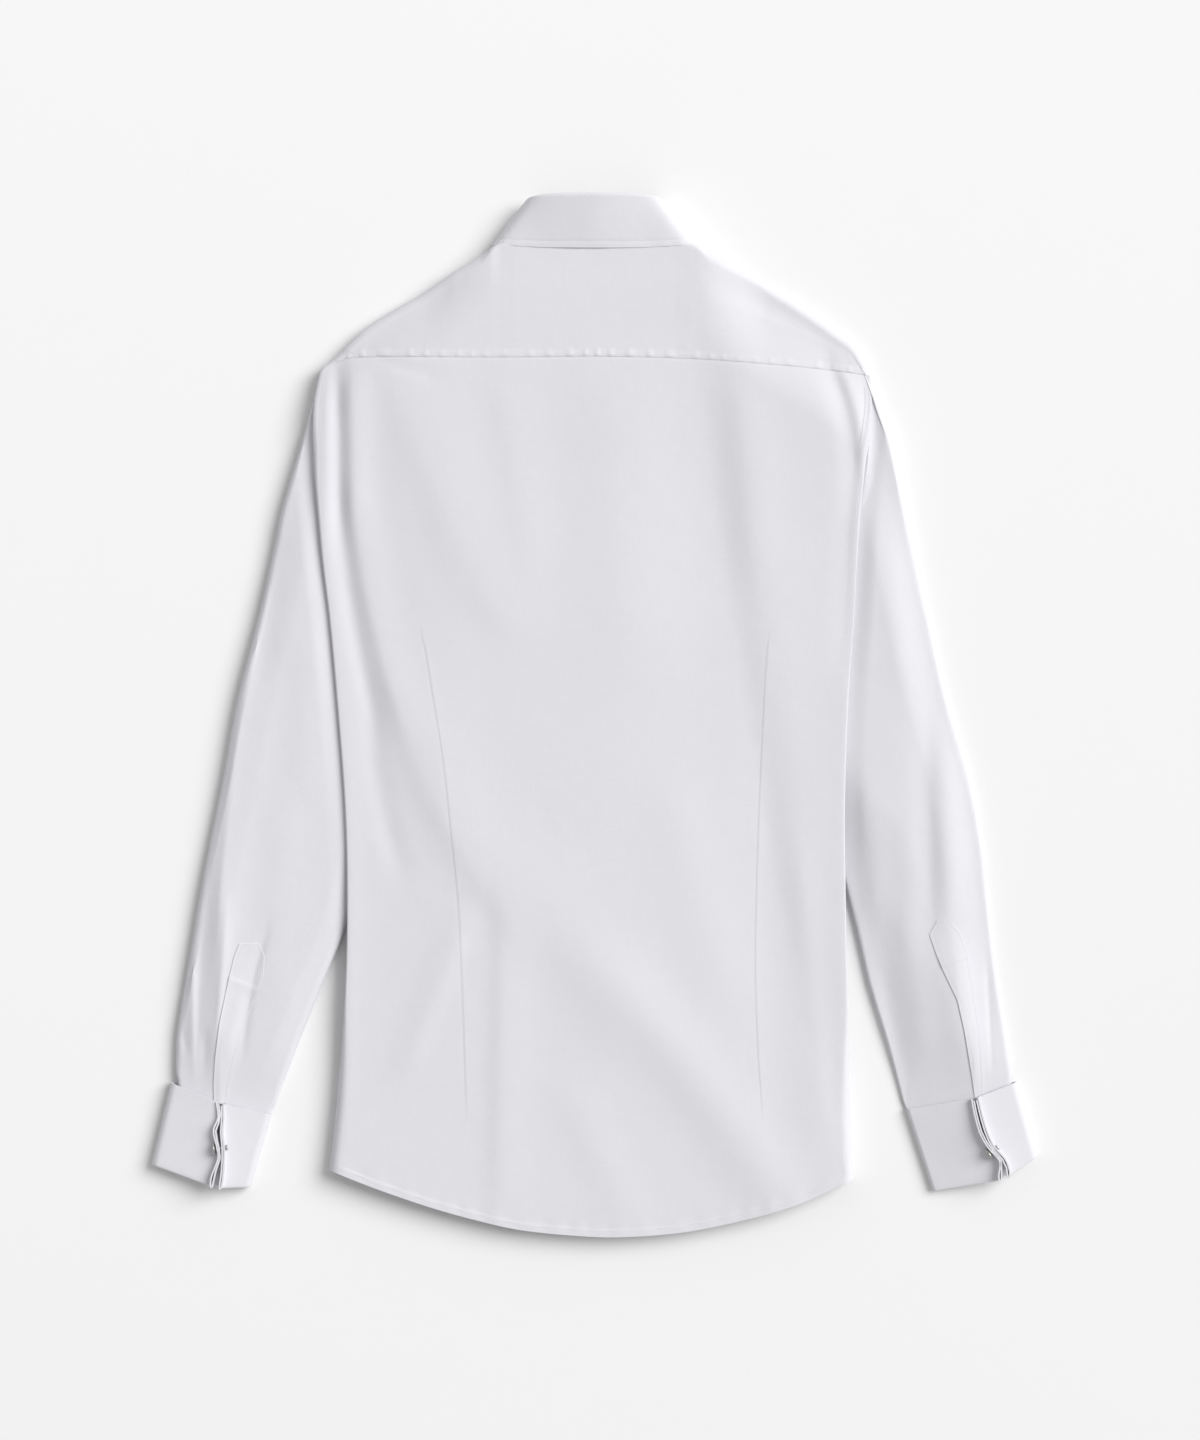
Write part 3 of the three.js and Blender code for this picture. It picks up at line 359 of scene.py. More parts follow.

# ---------------------------------------------------------------- folds

# The columns of every table of folds: x0 y0 x1 y1 bow left right rise power.

# The back and the yoke. A line is drawn from (x0, y0) to (x1, y1) and bowed to its right; the
# flanks reach to its left and right, rise is the fold's height, and power shapes its top.
BACK_FOLDS = [
    # left side: ridge and trough below the armhole, then the long drape down to the middle
    (-189, 266, -187, 150, 0, 5, 13, 1.9, 2),
    (-188, 165, -150, -5, -4, 7, 18, 1.9, 2),
    (-156, 20, -60, -160, -10, 16, 34, 2.2, 2),
    (-200.5, 262, -198.5, 150, 0, 5.5, 5, -2.4, 2),
    (-199, 168, -172, 0, -4, 7, 7, -1.9, 2),
    (-176, 12, -152, -120, -4, 9, 9, -1.3, 2),
    (-208, 262, -210, 120, 0, 4, 5, 0.7, 2),
    (-166, 276, -122, 262, 0, 4, 6, -0.6, 2),
    (-150, 262, -60, 60, -8, 20, 40, 1.8, 2),
    # middle
    (-70, 262, -50, 120, 0, 14, 22, 1.0, 2),
    (20, 262, 28, 40, 0, 38, 50, 2.4, 2),
    (78, 264, 162, -250, -4, 76, 22, -3.8, 2),
    (113, 262, 126, 110, 0, 12, 20, 1.1, 2),
    # right side: the deep fold below the armhole and its lip
    (183, 274, 204, 165, 7, 10, 5.5, -2.3, 2),
    (199, 175, 196, 40, 0, 10, 5, -1.2, 2),
    (192, 270, 208, 205, 3, 5, 5, 1.0, 2),
    # lower half
    (-98, -150, -148, -280, 0, 14, 10, 1.2, 2),
    (-70, -150, -74, -385, 0, 9, 20, 1.3, 2),
    (0, -190, 150, -385, 6, 24, 24, 2.8, 2),
    (-50, -110, 20, -260, 0, 26, 34, 1.3, 2),
    (60, -60, 100, -220, 0, 24, 22, 1.1, 2),
    (156, -100, 178, -330, 0, 18, 12, 1.5, 2),
    (-20, -290, 30, -400, 0, 18, 18, 1.1, 2),
    # small creases beside the collar's ends
    (-104, 346, -78, 360, 0, 3, 3, 0.9, 1.5),
    (-112, 336, -84, 349, 0, 3, 4, 0.6, 1.5),
    (88, 352, 112, 338, 0, 3, 4, 0.5, 1.5),
]

SLEEVE_FOLDS = {
    "left": [
        (-258, 120, -293.5, -165, -4, 13, 15, 3.6, 1.2),
        (-291.5, -140, -299, -306, 2, 10, 12, 2.8, 1.2),
        (-288, -150, -294, -240, 1, 1.6, 4, 0.9, 1.4),
        (-306, -90, -314, -220, 0, 6, 4, 1.0, 2),
        (-313.5, -185, -313, -300, 0, 5, 2.4, 1.5, 1.6),
        (-250, 150, -262, 30, 0, 9, 12, -1.0, 2),
        (-240, -60, -250, -230, 0, 16, 18, 1.0, 2),
        (-224, 60, -226, -60, 0, 14, 16, 0.8, 2),
        (-256, -170, -274, -262, -3, 7, 3, -1.2, 1.6),
        (-304, -250, -306, -305, 0, 3, 4, -1.0, 2),
        (-322, -246, -319, -262, 0, 3, 3, -0.8, 2),
    ],
    "right": [
        (259, -6, 262, -172, 0, 12, 8, -1.8, 2),
        (276, -20, 280, -140, 0, 10, 12, 1.2, 2),
        (212, -60, 222, -160, 0, 9, 12, 1.4, 2),
        (232, 150, 240, 20, 0, 12, 14, 0.9, 2),
        (281, -190, 299, -300, -3, 18, 18, 2.2, 1.6),
        (307, -200, 311, -292, 0, 1.8, 3.2, -1.2, 1.3),
        (240, -150, 262, -290, 0, 12, 12, 1.2, 2),
        (226, -200, 244, -300, 0, 7, 8, -0.9, 2),
    ],
}

# The edge of the box sewn across each placket below its point.
PLACKET_FOLDS = {
    "left": [
        (-288, -203, -260, -215, 0, 7, 0.7, 0.55, 1.2),
        (-276, -222, -288, -262, 0, 6, 5, 0.6, 2),
    ],
    "right": [
        (267, -198, 295, -187, 0, 0.7, 7, 0.5, 1.2),
    ],
}

# How far a sleeve's upper layer falls towards its outer and inner edges, and over what width.
SLEEVE_FALL = {"left": (3.0, 30, 2.5, 22), "right": (6.5, 34, 7.0, 62)}

# Folds of the fronts, on the under side.
FRONT_FOLDS = [
    (-150, 150, -120, -60, 0, 20, 20, 0.8, 2),
    (-90, 60, -110, -200, 0, 18, 18, 0.6, 2),
    (130, 120, 150, -120, 0, 20, 18, 0.8, 2),
    (70, -60, 90, -300, 0, 16, 20, 0.7, 2),
    (-60, -220, -40, -380, 0, 14, 14, 0.6, 2),
]

# ---------------------------------------------------------------- reading tables


def mix(a, b, t):
    return a + (b - a) * t


def ease(start, end, v):
    """0 before start, 1 after end, and a smooth step between them."""
    t = np.clip((v - start) / (end - start), 0, 1)
    return t * t * (3 - 2 * t)


def read(rows, key, at, name):
    """Column name where column key is at: a cubic through the rows whose slope at each row is that
    of its two neighbours, held at the first and last rows."""
    k, v = rows[key], rows[name]
    if k[-1] < k[0]:
        k, v = k[::-1], v[::-1]
    index = np.arange(len(k))
    below, above = np.maximum(index - 1, 0), np.minimum(index + 1, len(k) - 1)
    slope = (v[above] - v[below]) / (k[above] - k[below])
    at = np.clip(at, k[0], k[-1])
    i = np.clip(np.searchsorted(k, at, side="right") - 1, 0, len(k) - 2)
    step = k[i + 1] - k[i]
    t = (at - k[i]) / step
    start = (2 * t**3 - 3 * t**2 + 1) * v[i] + (t**3 - 2 * t**2 + t) * step * slope[i]
    return start + (3 * t**2 - 2 * t**3) * v[i + 1] + (t**3 - t**2) * step * slope[i + 1]


def read_out(rows, key, x, at):
    """Distance from the middle, on x's side, of a table with a left and a right column."""
    return np.where(x < 0, np.abs(read(rows, key, at, "left")), np.abs(read(rows, key, at, "right")))


def spaced(length, coarse, fine=1.0, at=()):
    """Shares from 0 to 1 of a line so long, in steps that shrink from coarse to fine by the places
    in at."""
    s = np.linspace(0, length, 4000)
    gap = np.full_like(s, coarse)
    for place in at:
        gap = np.minimum(gap, fine + 0.22 * np.abs(s - place))
    count = np.concatenate([[0], np.cumsum(np.diff(s) / gap[1:])])
    return np.interp(np.linspace(0, count[-1], int(count[-1]) + 2), count, s) / length


# ---------------------------------------------------------------- heights


def folds(rows, x, y):
    """Sum of soft folds. Each is exp(-(distance / reach) ^ power) across its bowed line, with its
    own reach on each side, and fades out over its two ends."""
    total = 0.0
    for x0, y0, x1, y1, bow, left, right, rise, power in rows:
        length = math.hypot(x1 - x0, y1 - y0)
        dx, dy = (x1 - x0) / length, (y1 - y0) / length
        along = (x - x0) * dx + (y - y0) * dy
        t = np.clip(along / length, 0, 1)
        across = (y - y0) * dx - (x - x0) * dy - 4 * bow * t * (1 - t)
        reach = np.where(across < 0, left, right)
        fade = 0.22 * length
        ends = ease(-fade, fade, along) * (1 - ease(length - fade, length + fade, along))
        total = total + rise * ends * np.exp(-(np.abs(across / reach) ** power))
    return total


def darts(x, y):
    """Two sewn darts: a narrow groove along each, one lip a little higher, and small puckers
    across it that fade to both sides."""
    total = 0.0
    for side, phase in (("left", 0.0), ("right", 1.7)):
        off = x - read(DARTS, "y", y, side)
        strength = ease(DART_TOP + 4, DART_TOP - 30, y) * ease(DART_END - 8, DART_END + 40, y)
        groove = -0.12 * np.exp(-((off / 0.8) ** 2))
        lip = 0.3 * ease(-0.5, 0.5, off) * np.exp(-np.maximum(off, 0) / 5)
        waves = np.sin(y / 5.3 + 2.1 * np.sin(y / 23 + phase) + phase)
        pucker = 0.1 * waves * np.exp(-((off / 8) ** 2)) * (0.5 + 0.5 * np.sin(y / 41 + phase))
        total = total + strength * (groove + lip + pucker)
    return total


def top_height(x, y):
    """Height of the back's and yoke's top layer: from the middle's level to the sides', down to the
    shoulder folds, with the folds and darts on it."""
    level = mix(
        read(TOP_LAYER, "y", y, "middle"),
        read(TOP_LAYER, "y", y, "side"),
        ease(0.5, 0.92, np.abs(x) / read_out(BODY_EDGE, "y", x, y)),
    )
    below = (read_out(SHOULDER, "out", x, np.abs(x)) - y) * 0.82
    drop, reach = (np.where(x < 0, *pair) for pair in zip(*SHOULDER_DROP.values()))
    drop = drop * ease(80, 135, np.abs(x)) * (1 - ease(0, 1, below / reach))
    from_edge = read_out(BODY_EDGE, "y", x, y) - np.abs(x)
    lip = np.where(x < 0, 0.5, 0.3) * np.exp(-((from_edge / 9) ** 2)) * ease(262, 200, y)
    lip = lip * ease(-350, -240, y)
    return level - drop + lip + folds(BACK_FOLDS, x, y)


def under_height(x, y):
    """Height of the body's under layer: on the plane, over the collar leaf or over a sleeve."""
    inner = read_out(SLEEVE_INNER, "y", x, y)
    start, end = LIFT_RAMP
    over = ease(inner - start, inner - end, np.abs(x)) * (1 - ease(160, 215, y))
    away = np.hypot(x - NECK_CENTRE[0], y - NECK_CENTRE[1])
    return FLOOR + np.maximum(BODY_LIFT * over, COLLAR_LIFT * ease(*COLLAR_LIFT_REACH, away))


def sorted_edge(outer, inner, ends):
    """The cuff's turned-back edge as distances from the middle, growing, and their y."""
    corners = [inner, ends, outer]
    return [abs(p[0]) for p in corners], [p[1] for p in corners]


def cuff_slope(side, x, outer_x, inner_x, ends_x):
    """Height of a cuff's inner layer at x: it rises from both side edges to the meeting ends."""
    levels = CUFF_LEVELS[side]
    xs = np.abs([inner_x, ends_x, outer_x])
    return np.interp(np.abs(x), xs, [levels["inner"], levels["base"], levels["outer"]])


def sleeve_height(side, x, y, puff):
    """Height of a sleeve's upper layer: puff is what it gains beyond the body's edge."""
    edge = np.abs(read(BODY_EDGE, "y", y, side))
    free = np.where(y < -200, 1.0, ease(edge + 1, edge + 16, np.abs(x)))
    outer_fall, outer_reach, inner_fall, inner_reach = SLEEVE_FALL[side]
    from_outer = np.abs(read(SLEEVE_OUTER, "y", y, side)) - np.abs(x)
    from_inner = np.abs(x) - np.abs(read(SLEEVE_INNER, "y", y, side))
    fall = outer_fall * (1 - ease(0, outer_reach, from_outer)) * ease(240, 120, y)
    fall = fall + inner_fall * (1 - ease(0, inner_reach, from_inner)) * ease(0, -80, y)
    height = SLEEVE_TOP + puff * free - fall + folds(SLEEVE_FOLDS[side], x, y) * free
    outer, inner, ends = (np.array(p, float) for p in cuff_place(side, 0.0))
    above = y - np.interp(x * SIDES[side], *sorted_edge(outer, inner, ends))
    return mix(cuff_slope(side, x, outer[0], inner[0], ends[0]) - CUFF_TUCK, height, ease(-1, 60, above))


# ---------------------------------------------------------------- meshes


def make_object(name, points, faces, uv=None):
    """A mesh from points in millimetres, with smooth faces and its sharp edges marked."""
    mesh = bpy.data.meshes.new(name)
    mesh.from_pydata((np.asarray(points) * MM).tolist(), [], np.asarray(faces).tolist())
    mesh.polygons.foreach_set("use_smooth", np.ones(len(mesh.polygons), bool))
    mesh.set_sharp_from_angle(angle=math.radians(50))
    if uv is not None:
        layer = mesh.uv_layers.new(name="weave")
        layer.uv.foreach_set("vector", (uv[np.asarray(faces).ravel()] * MM).ravel())
    obj = bpy.data.objects.new(name, mesh)
    bpy.context.scene.collection.objects.link(obj)
    return obj


def outward(points, quads):
    """The quads, all turned over if they enclose a negative volume."""
    a, b, c, d = (points[quads[:, i]] for i in range(4))
    volume = np.einsum("ij,ij->", a, np.cross(b, c)) + np.einsum("ij,ij->", a, np.cross(c, d))
    return quads if volume > 0 else quads[:, ::-1]


def normals(grid, looped=False):
    """The grid's unit normals, from the differences of each point's neighbours."""
    if looped:
        across = np.roll(grid, -1, 1) - np.roll(grid, 1, 1)
    else:
        across = np.gradient(grid, axis=1)
    n = np.cross(across, np.gradient(grid, axis=0))
    return n / np.maximum(np.linalg.norm(n, axis=2, keepdims=True), 1e-9)


def lengths(grid, axis):
    """Mean distance run along one axis of a grid, from its first point."""
    step = np.linalg.norm(np.diff(grid, axis=axis), axis=2).mean(1 - axis)
    return np.concatenate([[0], np.cumsum(step)])


def wall(name, grid, thickness, looped=False):
    """A thin closed shell: the grid moved half the thickness each way along its normals, and
    joined by a rim round its free edges. Its weave map holds the distances along the cloth."""
    rows, columns = grid.shape[:2]
    offset = normals(grid, looped) * (thickness / 2)
    points = np.concatenate([(grid + offset).reshape(-1, 3), (grid - offset).reshape(-1, 3)])
    points[:, 2] = np.maximum(points[:, 2], 0)
    ids = np.arange(rows * columns).reshape(rows, columns)
    if looped:
        ids = np.concatenate([ids, ids[:, :1]], 1)
    count = rows * columns

    def quads(a, b, c, d):
        return np.stack([a, b, c, d], -1).reshape(-1, 4)

    upper = quads(ids[:-1, :-1], ids[:-1, 1:], ids[1:, 1:], ids[1:, :-1])
    faces = [upper, upper[:, ::-1] + count]
    for edge in (ids[0], ids[-1][::-1]):
        faces.append(quads(edge[:-1], edge[:-1] + count, edge[1:] + count, edge[1:]))
    if not looped:
        for edge in (ids[::-1, 0], ids[:, -1]):
            faces.append(quads(edge[:-1], edge[:-1] + count, edge[1:] + count, edge[1:]))
    u = np.broadcast_to(lengths(grid, 1), (rows, columns))
    v = np.broadcast_to(lengths(grid, 0)[:, None], (rows, columns))
    uv = np.tile(np.stack([u, v], -1).reshape(-1, 2), (2, 1))
    return make_object(name, points, outward(points, np.concatenate(faces)), uv)


def sample(grid, row, column):
    """Points at whole or part places of a grid, by the four points round each."""
    r = np.clip(np.floor(row).astype(int), 0, grid.shape[0] - 2)
    c = np.clip(np.floor(column).astype(int), 0, grid.shape[1] - 2)
    s, t = (row - r)[:, None], (column - c)[:, None]
    upper = mix(grid[r, c], grid[r, c + 1], t)
    lower = mix(grid[r + 1, c], grid[r + 1, c + 1], t)
    return mix(upper, lower, s)


STITCH_PITCH = 2.3  # from one stitch to the next
STITCH_LENGTH = 1.7
STITCH_RADIUS = 0.2
stitch_meshes = []


def stitches(path, up):
    """Sewn stitches along a path that lies on the cloth: short rods with tapered ends, each sunk
    into the cloth at both ends. up is the cloth's normal along the path."""
    step = np.linalg.norm(np.diff(path, axis=0), axis=1)
    run = np.concatenate([[0], np.cumsum(step)])
    count = int(run[-1] / STITCH_PITCH)
    ring = np.array([-0.5, -0.38, 0, 0.38, 0.5])
    at = ((np.arange(count) + 0.5)[:, None] * STITCH_PITCH) + ring * STITCH_LENGTH

    def follow(values):
        return np.stack([np.interp(at, run, values[:, i]) for i in range(3)], -1)

    centre, lift = follow(path), follow(up)
    lift /= np.linalg.norm(lift, axis=2, keepdims=True)
    tangent = np.gradient(centre, axis=1)
    tangent /= np.linalg.norm(tangent, axis=2, keepdims=True)
    aside = np.cross(tangent, lift)
    sink = STITCH_RADIUS * np.array([-1.1, -0.2, 0.35, -0.2, -1.1])
    centre = centre + lift * sink[None, :, None]
    radius = STITCH_RADIUS * np.array([0.35, 0.9, 1, 0.9, 0.35])
    angle = np.arange(6) * math.pi / 3
    circle = aside[:, :, None] * np.cos(angle)[:, None] + lift[:, :, None] * np.sin(angle)[:, None]
    points = centre[:, :, None] + circle * radius[:, None, None]
    stitch_meshes.append(points)


def make_stitches(name):
    """All the stitches gathered so far, as one mesh of closed rods."""
    points = np.concatenate(stitch_meshes)
    count = len(points)
    ids = np.arange(30).reshape(5, 6)
    ahead = np.roll(ids, -1, 1)
    sides = np.stack([ids[:-1], ids[1:], ahead[1:], ahead[:-1]], -1).reshape(-1, 4)
    ends = [[0, 1, 2, 3], [0, 3, 4, 5], [27, 26, 25, 24], [29, 28, 27, 24]]
    faces = np.concatenate([sides, np.array(ends)])
    faces = outward(points[0].reshape(-1, 3), faces)
    every = (faces[None] + 30 * np.arange(count)[:, None, None]).reshape(-1, 4)
    stitch_meshes.clear()
    return make_object(name, points.reshape(-1, 3), every)


def stitch_grid(grid, rows, columns, thickness):
    """Stitches over a grid's places (rows, columns), on the face that its normals point to."""
    path = sample(grid, rows, columns)
    lift = sample(normals(grid), rows, columns)
    stitches(path + lift * thickness / 2, lift)


# ---------------------------------------------------------------- back


def side_roll(side, y, s):
    """How the back turns under at a side. For s from 0 to 1 an arc starts flat on top and turns by
    the roll's angle, and from 1 to 2 the cloth runs on, below the armpit to the side seam."""
    sign = SIDES[side]
    edge = read(BODY_EDGE, "y", y, side)
    turn = np.radians(read(SIDE_ROLL, "y", y, "turn"))
    seam_x = edge - sign * SIDE_SEAM_INSET
    guess = edge - sign * 3.5
    rest = np.where(y > ARMPIT_Y, FLOOR + BODY_LIFT, under_height(guess, y))
    high = ease(165, 210, y)
    radius = mix((top_height(guess, y) - rest) / 2, read(SIDE_ROLL, "y", y, "radius"), high)
    centre = edge - sign * radius * np.sin(np.minimum(turn, math.pi / 2))
    top = mix(top_height(guess, y), top_height(centre, y), high)
    angle = turn * np.clip(s, 0, 1)
    x = centre + sign * radius * np.sin(angle)
    z = top - radius * (1 - np.cos(angle))
    tail = read(SIDE_ROLL, "y", y, "tail")
    end_x = centre + sign * radius * np.sin(turn)
    end_z = top - radius * (1 - np.cos(turn))
    full = 1 - ease(ARMPIT_Y, 150, y)
    last_x = mix(end_x + sign * tail * np.cos(turn), seam_x, full)
    last_z = mix(end_z - tail * np.sin(turn), under_height(seam_x, y), full)
    run = np.clip(s - 1, 0, 1)
    return x + run * (last_x - end_x), z + run * (last_z - end_z)


def back_place(y, part, q):
    """Place (x, z) on the back's section at y. On the top, q runs from the left roll (0) by the left
    dart (1) and the right dart (2) to the right roll (3); on a roll it is side_roll's s."""
    if part != "top":
        return side_roll(part, y, q)
    left = side_roll("left", y, 0 * y)[0]
    right = side_roll("right", y, 0 * y)[0]
    knots = [left, read(DARTS, "y", y, "left"), read(DARTS, "y", y, "right"), right]
    i = np.clip(np.floor(q).astype(int), 0, 2)
    t = q - i
    start = np.choose(i, knots[:3])
    end = np.choose(i, knots[1:])
    x = mix(start, end, t)
    blend = np.minimum(ease(0, 0.08, q), ease(3, 2.92, q))
    rolled = np.where(q < 1.5, side_roll("left", y, 0 * y)[1], side_roll("right", y, 0 * y)[1])
    return x, mix(rolled, top_height(x, y), blend) + darts(x, y)


BACK_TOP = 266.0  # where the back's columns are set out, near the yoke seam
BACK_END = -358.0  # and near the hem's ends


def make_back():
    """The back: sections across it from the yoke seam to the hem. Each column runs from its own
    place on the seam to its own place on the hem, which is turned in along a narrow band."""
    roll = np.concatenate([np.linspace(0, 1, 13)[1:], 1 + np.linspace(0, 1, 8)[1:]])
    outer = spaced(76, 3.2, 0.55, at=(76,))
    middle = spaced(236, 3.3, 0.55, at=(0, 236))
    top = np.concatenate([outer[:-1], 1 + middle[:-1], 3 - outer[::-1]])
    parts = [("left", roll[::-1]), ("top", top), ("right", roll)]
    rows = spaced(665, 3.4, 0.9, at=(0, 659, 665))[:, None]
    pieces = []
    for part, q in parts:
        first = back_place(np.full(q.shape, BACK_TOP), part, q)[0]
        last = back_place(np.full(q.shape, BACK_END), part, q)[0]
        seam_y = read(YOKE_SEAM, "x", first, "y") + 2.5 * ease(200, 180, np.abs(first))
        y = mix(seam_y, read(HEM, "x", last, "y"), rows)
        qs = np.broadcast_to(q, y.shape)
        x, z = back_place(y, part, qs)
        tucked = 0.45 * ease(2.5, -2.5, read(YOKE_SEAM, "x", x, "y") - y)
        hem = read(HEM, "x", last, "y") + HEM_WIDTH
        band = 0.35 * ease(1.2, -1.2, y - hem)
        ripple = 0.22 * np.sin(x / 3.1 + 1.8 * np.sin(x / 19)) * np.exp(-(((y - hem) / 5) ** 2))
        z = z + np.where(part == "top", band + ripple - tucked, 0)
        pieces.append(np.stack([x, y, z], -1))
    return np.concatenate(pieces, 1)


# ---------------------------------------------------------------- yoke

YOKE_SIDE = 213  # half its width
YOKE_NECK = 66  # where it turns down beside the neck


def yoke_fold(x):
    """The shoulder fold at x: where its bend starts on top, its inward direction, its height,
    radius, width, whole turn and the cloth's run beyond it."""
    out = np.abs(x)
    sign = np.where(x < 0, -1.0, 1.0)
    fold_y = read_out(SHOULDER, "out", x, out)
    wrapped = ease(61, 70, out)
    lean = 0.56 * ease(78, 120, out) + 0.2 * ease(190, 213, out)
    inward = np.stack([-sign * lean, -np.sqrt(1 - lean**2)], -1)
    turn = np.pi * wrapped
    top = top_height(x + inward[..., 0] * 7, fold_y + inward[..., 1] * 7)
    under = under_height(x + inward[..., 0] * 12, fold_y + inward[..., 1] * 12)
    radius = (top - under) / 2
    tail = mix(2, YOKE_WRAP - radius, ease(69, 74, out))
    flat = np.where(turn < np.pi / 2, tail * np.cos(turn), 0)
    seam_y = read(YOKE_SEAM, "x", x, "y")
    width = np.minimum(radius, 0.85 * (fold_y - seam_y) / -inward[..., 1])
    width = np.minimum(width, mix(3.5, 14, ease(76, 100, out)))
    reach = width * np.sin(np.minimum(turn, np.pi / 2)) + flat
    centre = np.stack([x, fold_y], -1) + inward * reach[..., None]
    return dict(
        centre=centre, inward=inward, top=top, radius=radius, width=width, turn=turn, tail=tail,
        wrapped=wrapped, seam_y=seam_y,
    )


def yoke_puckers(x, y):
    """The yoke's lower edge: a felled band that stands up a little, with uneven puckers between
    the seam and its topstitching."""
    above = y - read(YOKE_SEAM, "x", x, "y")
    band = 0.15 * (1 - ease(YOKE_STITCH - 2, YOKE_STITCH + 2, above))
    groove = -0.12 * np.exp(-(((above - YOKE_STITCH) / 1.2) ** 2))
    wave = np.sin(x / 2.2 + 2.1 * np.sin(x / 17) + 0.8 * np.sin(x / 7.3))
    bumps = np.maximum(wave, 0) ** 1.3
    uneven = 0.75 + 0.25 * np.sin(x / 31 + 1)
    inside = ease(0, 0.9, above) * (1 - ease(0.9, 8.5, above))
    return band + groove + (0.15 + 0.62 * bumps * uneven) * inside


def yoke_place(x, top, wrap):
    """Points of the yoke: top runs from 0 at the back seam to 1 where the shoulder bends, and wrap
    from there to 1 at the front edge, or at the neck seam between the shoulders."""
    f = yoke_fold(x)
    seam = np.stack([x, f["seam_y"]], -1)
    p = mix(seam, f["centre"], top[..., None])
    z = mix(top_height(p[..., 0], p[..., 1]), f["top"], ease(0.6, 1, top))
    arc = f["radius"] * f["turn"]
    s = (arc + f["tail"]) * wrap
    angle = np.minimum(s / f["radius"], f["turn"])
    rest = np.maximum(s - arc, 0)
    back = f["width"] * np.sin(angle) + rest * np.cos(f["turn"])
    q = p - f["inward"] * back[..., None]
    on_arc = z - f["radius"] * (1 - np.cos(angle)) - rest * np.sin(f["turn"])
    lying = mix(on_arc, under_height(q[..., 0], q[..., 1]), f["wrapped"] * ease(0, 8, rest))
    z = np.where(wrap > 0, lying, z) + np.where(wrap > 0, 0, yoke_puckers(q[..., 0], q[..., 1]))
    return np.concatenate([q, z[..., None]], -1)


def make_yoke():
    """The yoke from its back seam to the fronts, its columns closest where it turns down beside
    the neck and at its sides."""
    half = YOKE_SIDE * spaced(YOKE_SIDE, 1.25, 0.8, at=(YOKE_NECK, YOKE_SIDE))
    x = np.concatenate([-half[:0:-1], half])
    top = spaced(80, 1.9, 0.7, at=(0, YOKE_STITCH))
    wrap = np.linspace(0, 1, 26)[1:]
    tops = np.concatenate([top, np.ones(len(wrap))])[:, None] + 0 * x
    wraps = np.concatenate([np.zeros(len(top)), wrap])[:, None] + 0 * x
    return yoke_place(x + 0 * tops, tops, wraps)


# ---------------------------------------------------------------- fronts


def front_top(side):
    """The top edge of a front by distance from the middle: neckline, then the shoulder seam."""
    x = SIDES[side] * np.array([74, 82, 100, 124, 150, 176, 191, 203, 213.0])
    end = yoke_place(x, np.ones(len(x)), np.ones(len(x)))
    out = np.abs(end[:, 0])
    keep = FRONT_NECK["out"] < out[0] - 1
    return {
        "out": np.concatenate([FRONT_NECK["out"][keep], out]),
        "y": np.concatenate([FRONT_NECK["y"][keep], end[:, 1] - 0.6]),
    }


def front_side(side, y):
    """The armhole above the armpit and the side seam below it."""
    seam = read(BODY_EDGE, "y", y, side) - SIDES[side] * (SIDE_SEAM_INSET + 0.4)
    return np.where(y > ARMPIT_Y, read(FRONT_ARMHOLE, "y", y, side), seam)


def front_height(side, x, y):
    """A front rises towards the middle: the left one to the placket, the right one above it."""
    level = PLACKET_LEVEL if side == "left" else UNDERLAP_LEVEL
    away = -PLACKET_WIDTH / 2 - x if side == "left" else x - PLACKET_WIDTH / 2
    rise = (level - FLOOR) * (1 - ease(0, PLACKET_RAMP, away))
    return np.maximum(under_height(x, y), FLOOR + rise) + np.abs(folds(FRONT_FOLDS, x, y))


def make_front(side):
    """A front from its top edge to the hem, and from the middle to the side seam."""
    top = front_top(side)
    start = -PLACKET_WIDTH / 2 if side == "left" else UNDERLAP_REACH
    share = spaced(172, 3.4, 1.2, at=(0,))
    rows = spaced(650, 4.2, 1.2, at=(0, 644, 650))[:, None]
    top_x = mix(start, front_side(side, np.float64(250)), share)
    hem_x = mix(start, front_side(side, np.float64(BACK_END)), share)
    top_y = read(top, "out", np.abs(top_x), "y")
    hem_y = read(HEM, "x", hem_x, "y") + 6 * (1 - share)
    y = mix(top_y, hem_y, rows)
    x = mix(start, front_side(side, y), share)
    z = front_height(side, x, y) + 0.25 * ease(HEM_WIDTH + 1, HEM_WIDTH - 1, y - hem_y)
    return np.stack([x, y, z], -1)


def make_front_placket():
    """A strip down the middle, with a slight rise and puckers 5 mm inside each edge, where the cloth is
    folded under.
    """
    x = PLACKET_WIDTH * (spaced(PLACKET_WIDTH, 2, 0.8, at=(4, 31)) - 0.5)
    top_y = read(FRONT_NECK, "out", np.abs(x), "y")
    hem_y = read(HEM, "x", x, "y") + 6
    y = mix(top_y, hem_y, spaced(660, 4, 1.5, at=(0, 660))[:, None])
    edge = np.abs(np.abs(x) - (PLACKET_WIDTH / 2 - 5))
    groove = 0.25 * np.exp(-((edge / 1.1) ** 2)) + 0 * y
    puckers = 0.15 * np.sin(y / 2.9 + np.sin(y / 13)) * np.exp(-((edge / 4) ** 2))
    return np.stack([x + 0 * y, y, PLACKET_LEVEL - 0.5 + groove + puckers], -1)


# ---------------------------------------------------------------- sleeves

RING_TOP = np.linspace(0, 1, 64)
RING_END = np.linspace(0, 1, 12)[1:-1]
RING_BOTTOM = np.linspace(0, 1, 26)


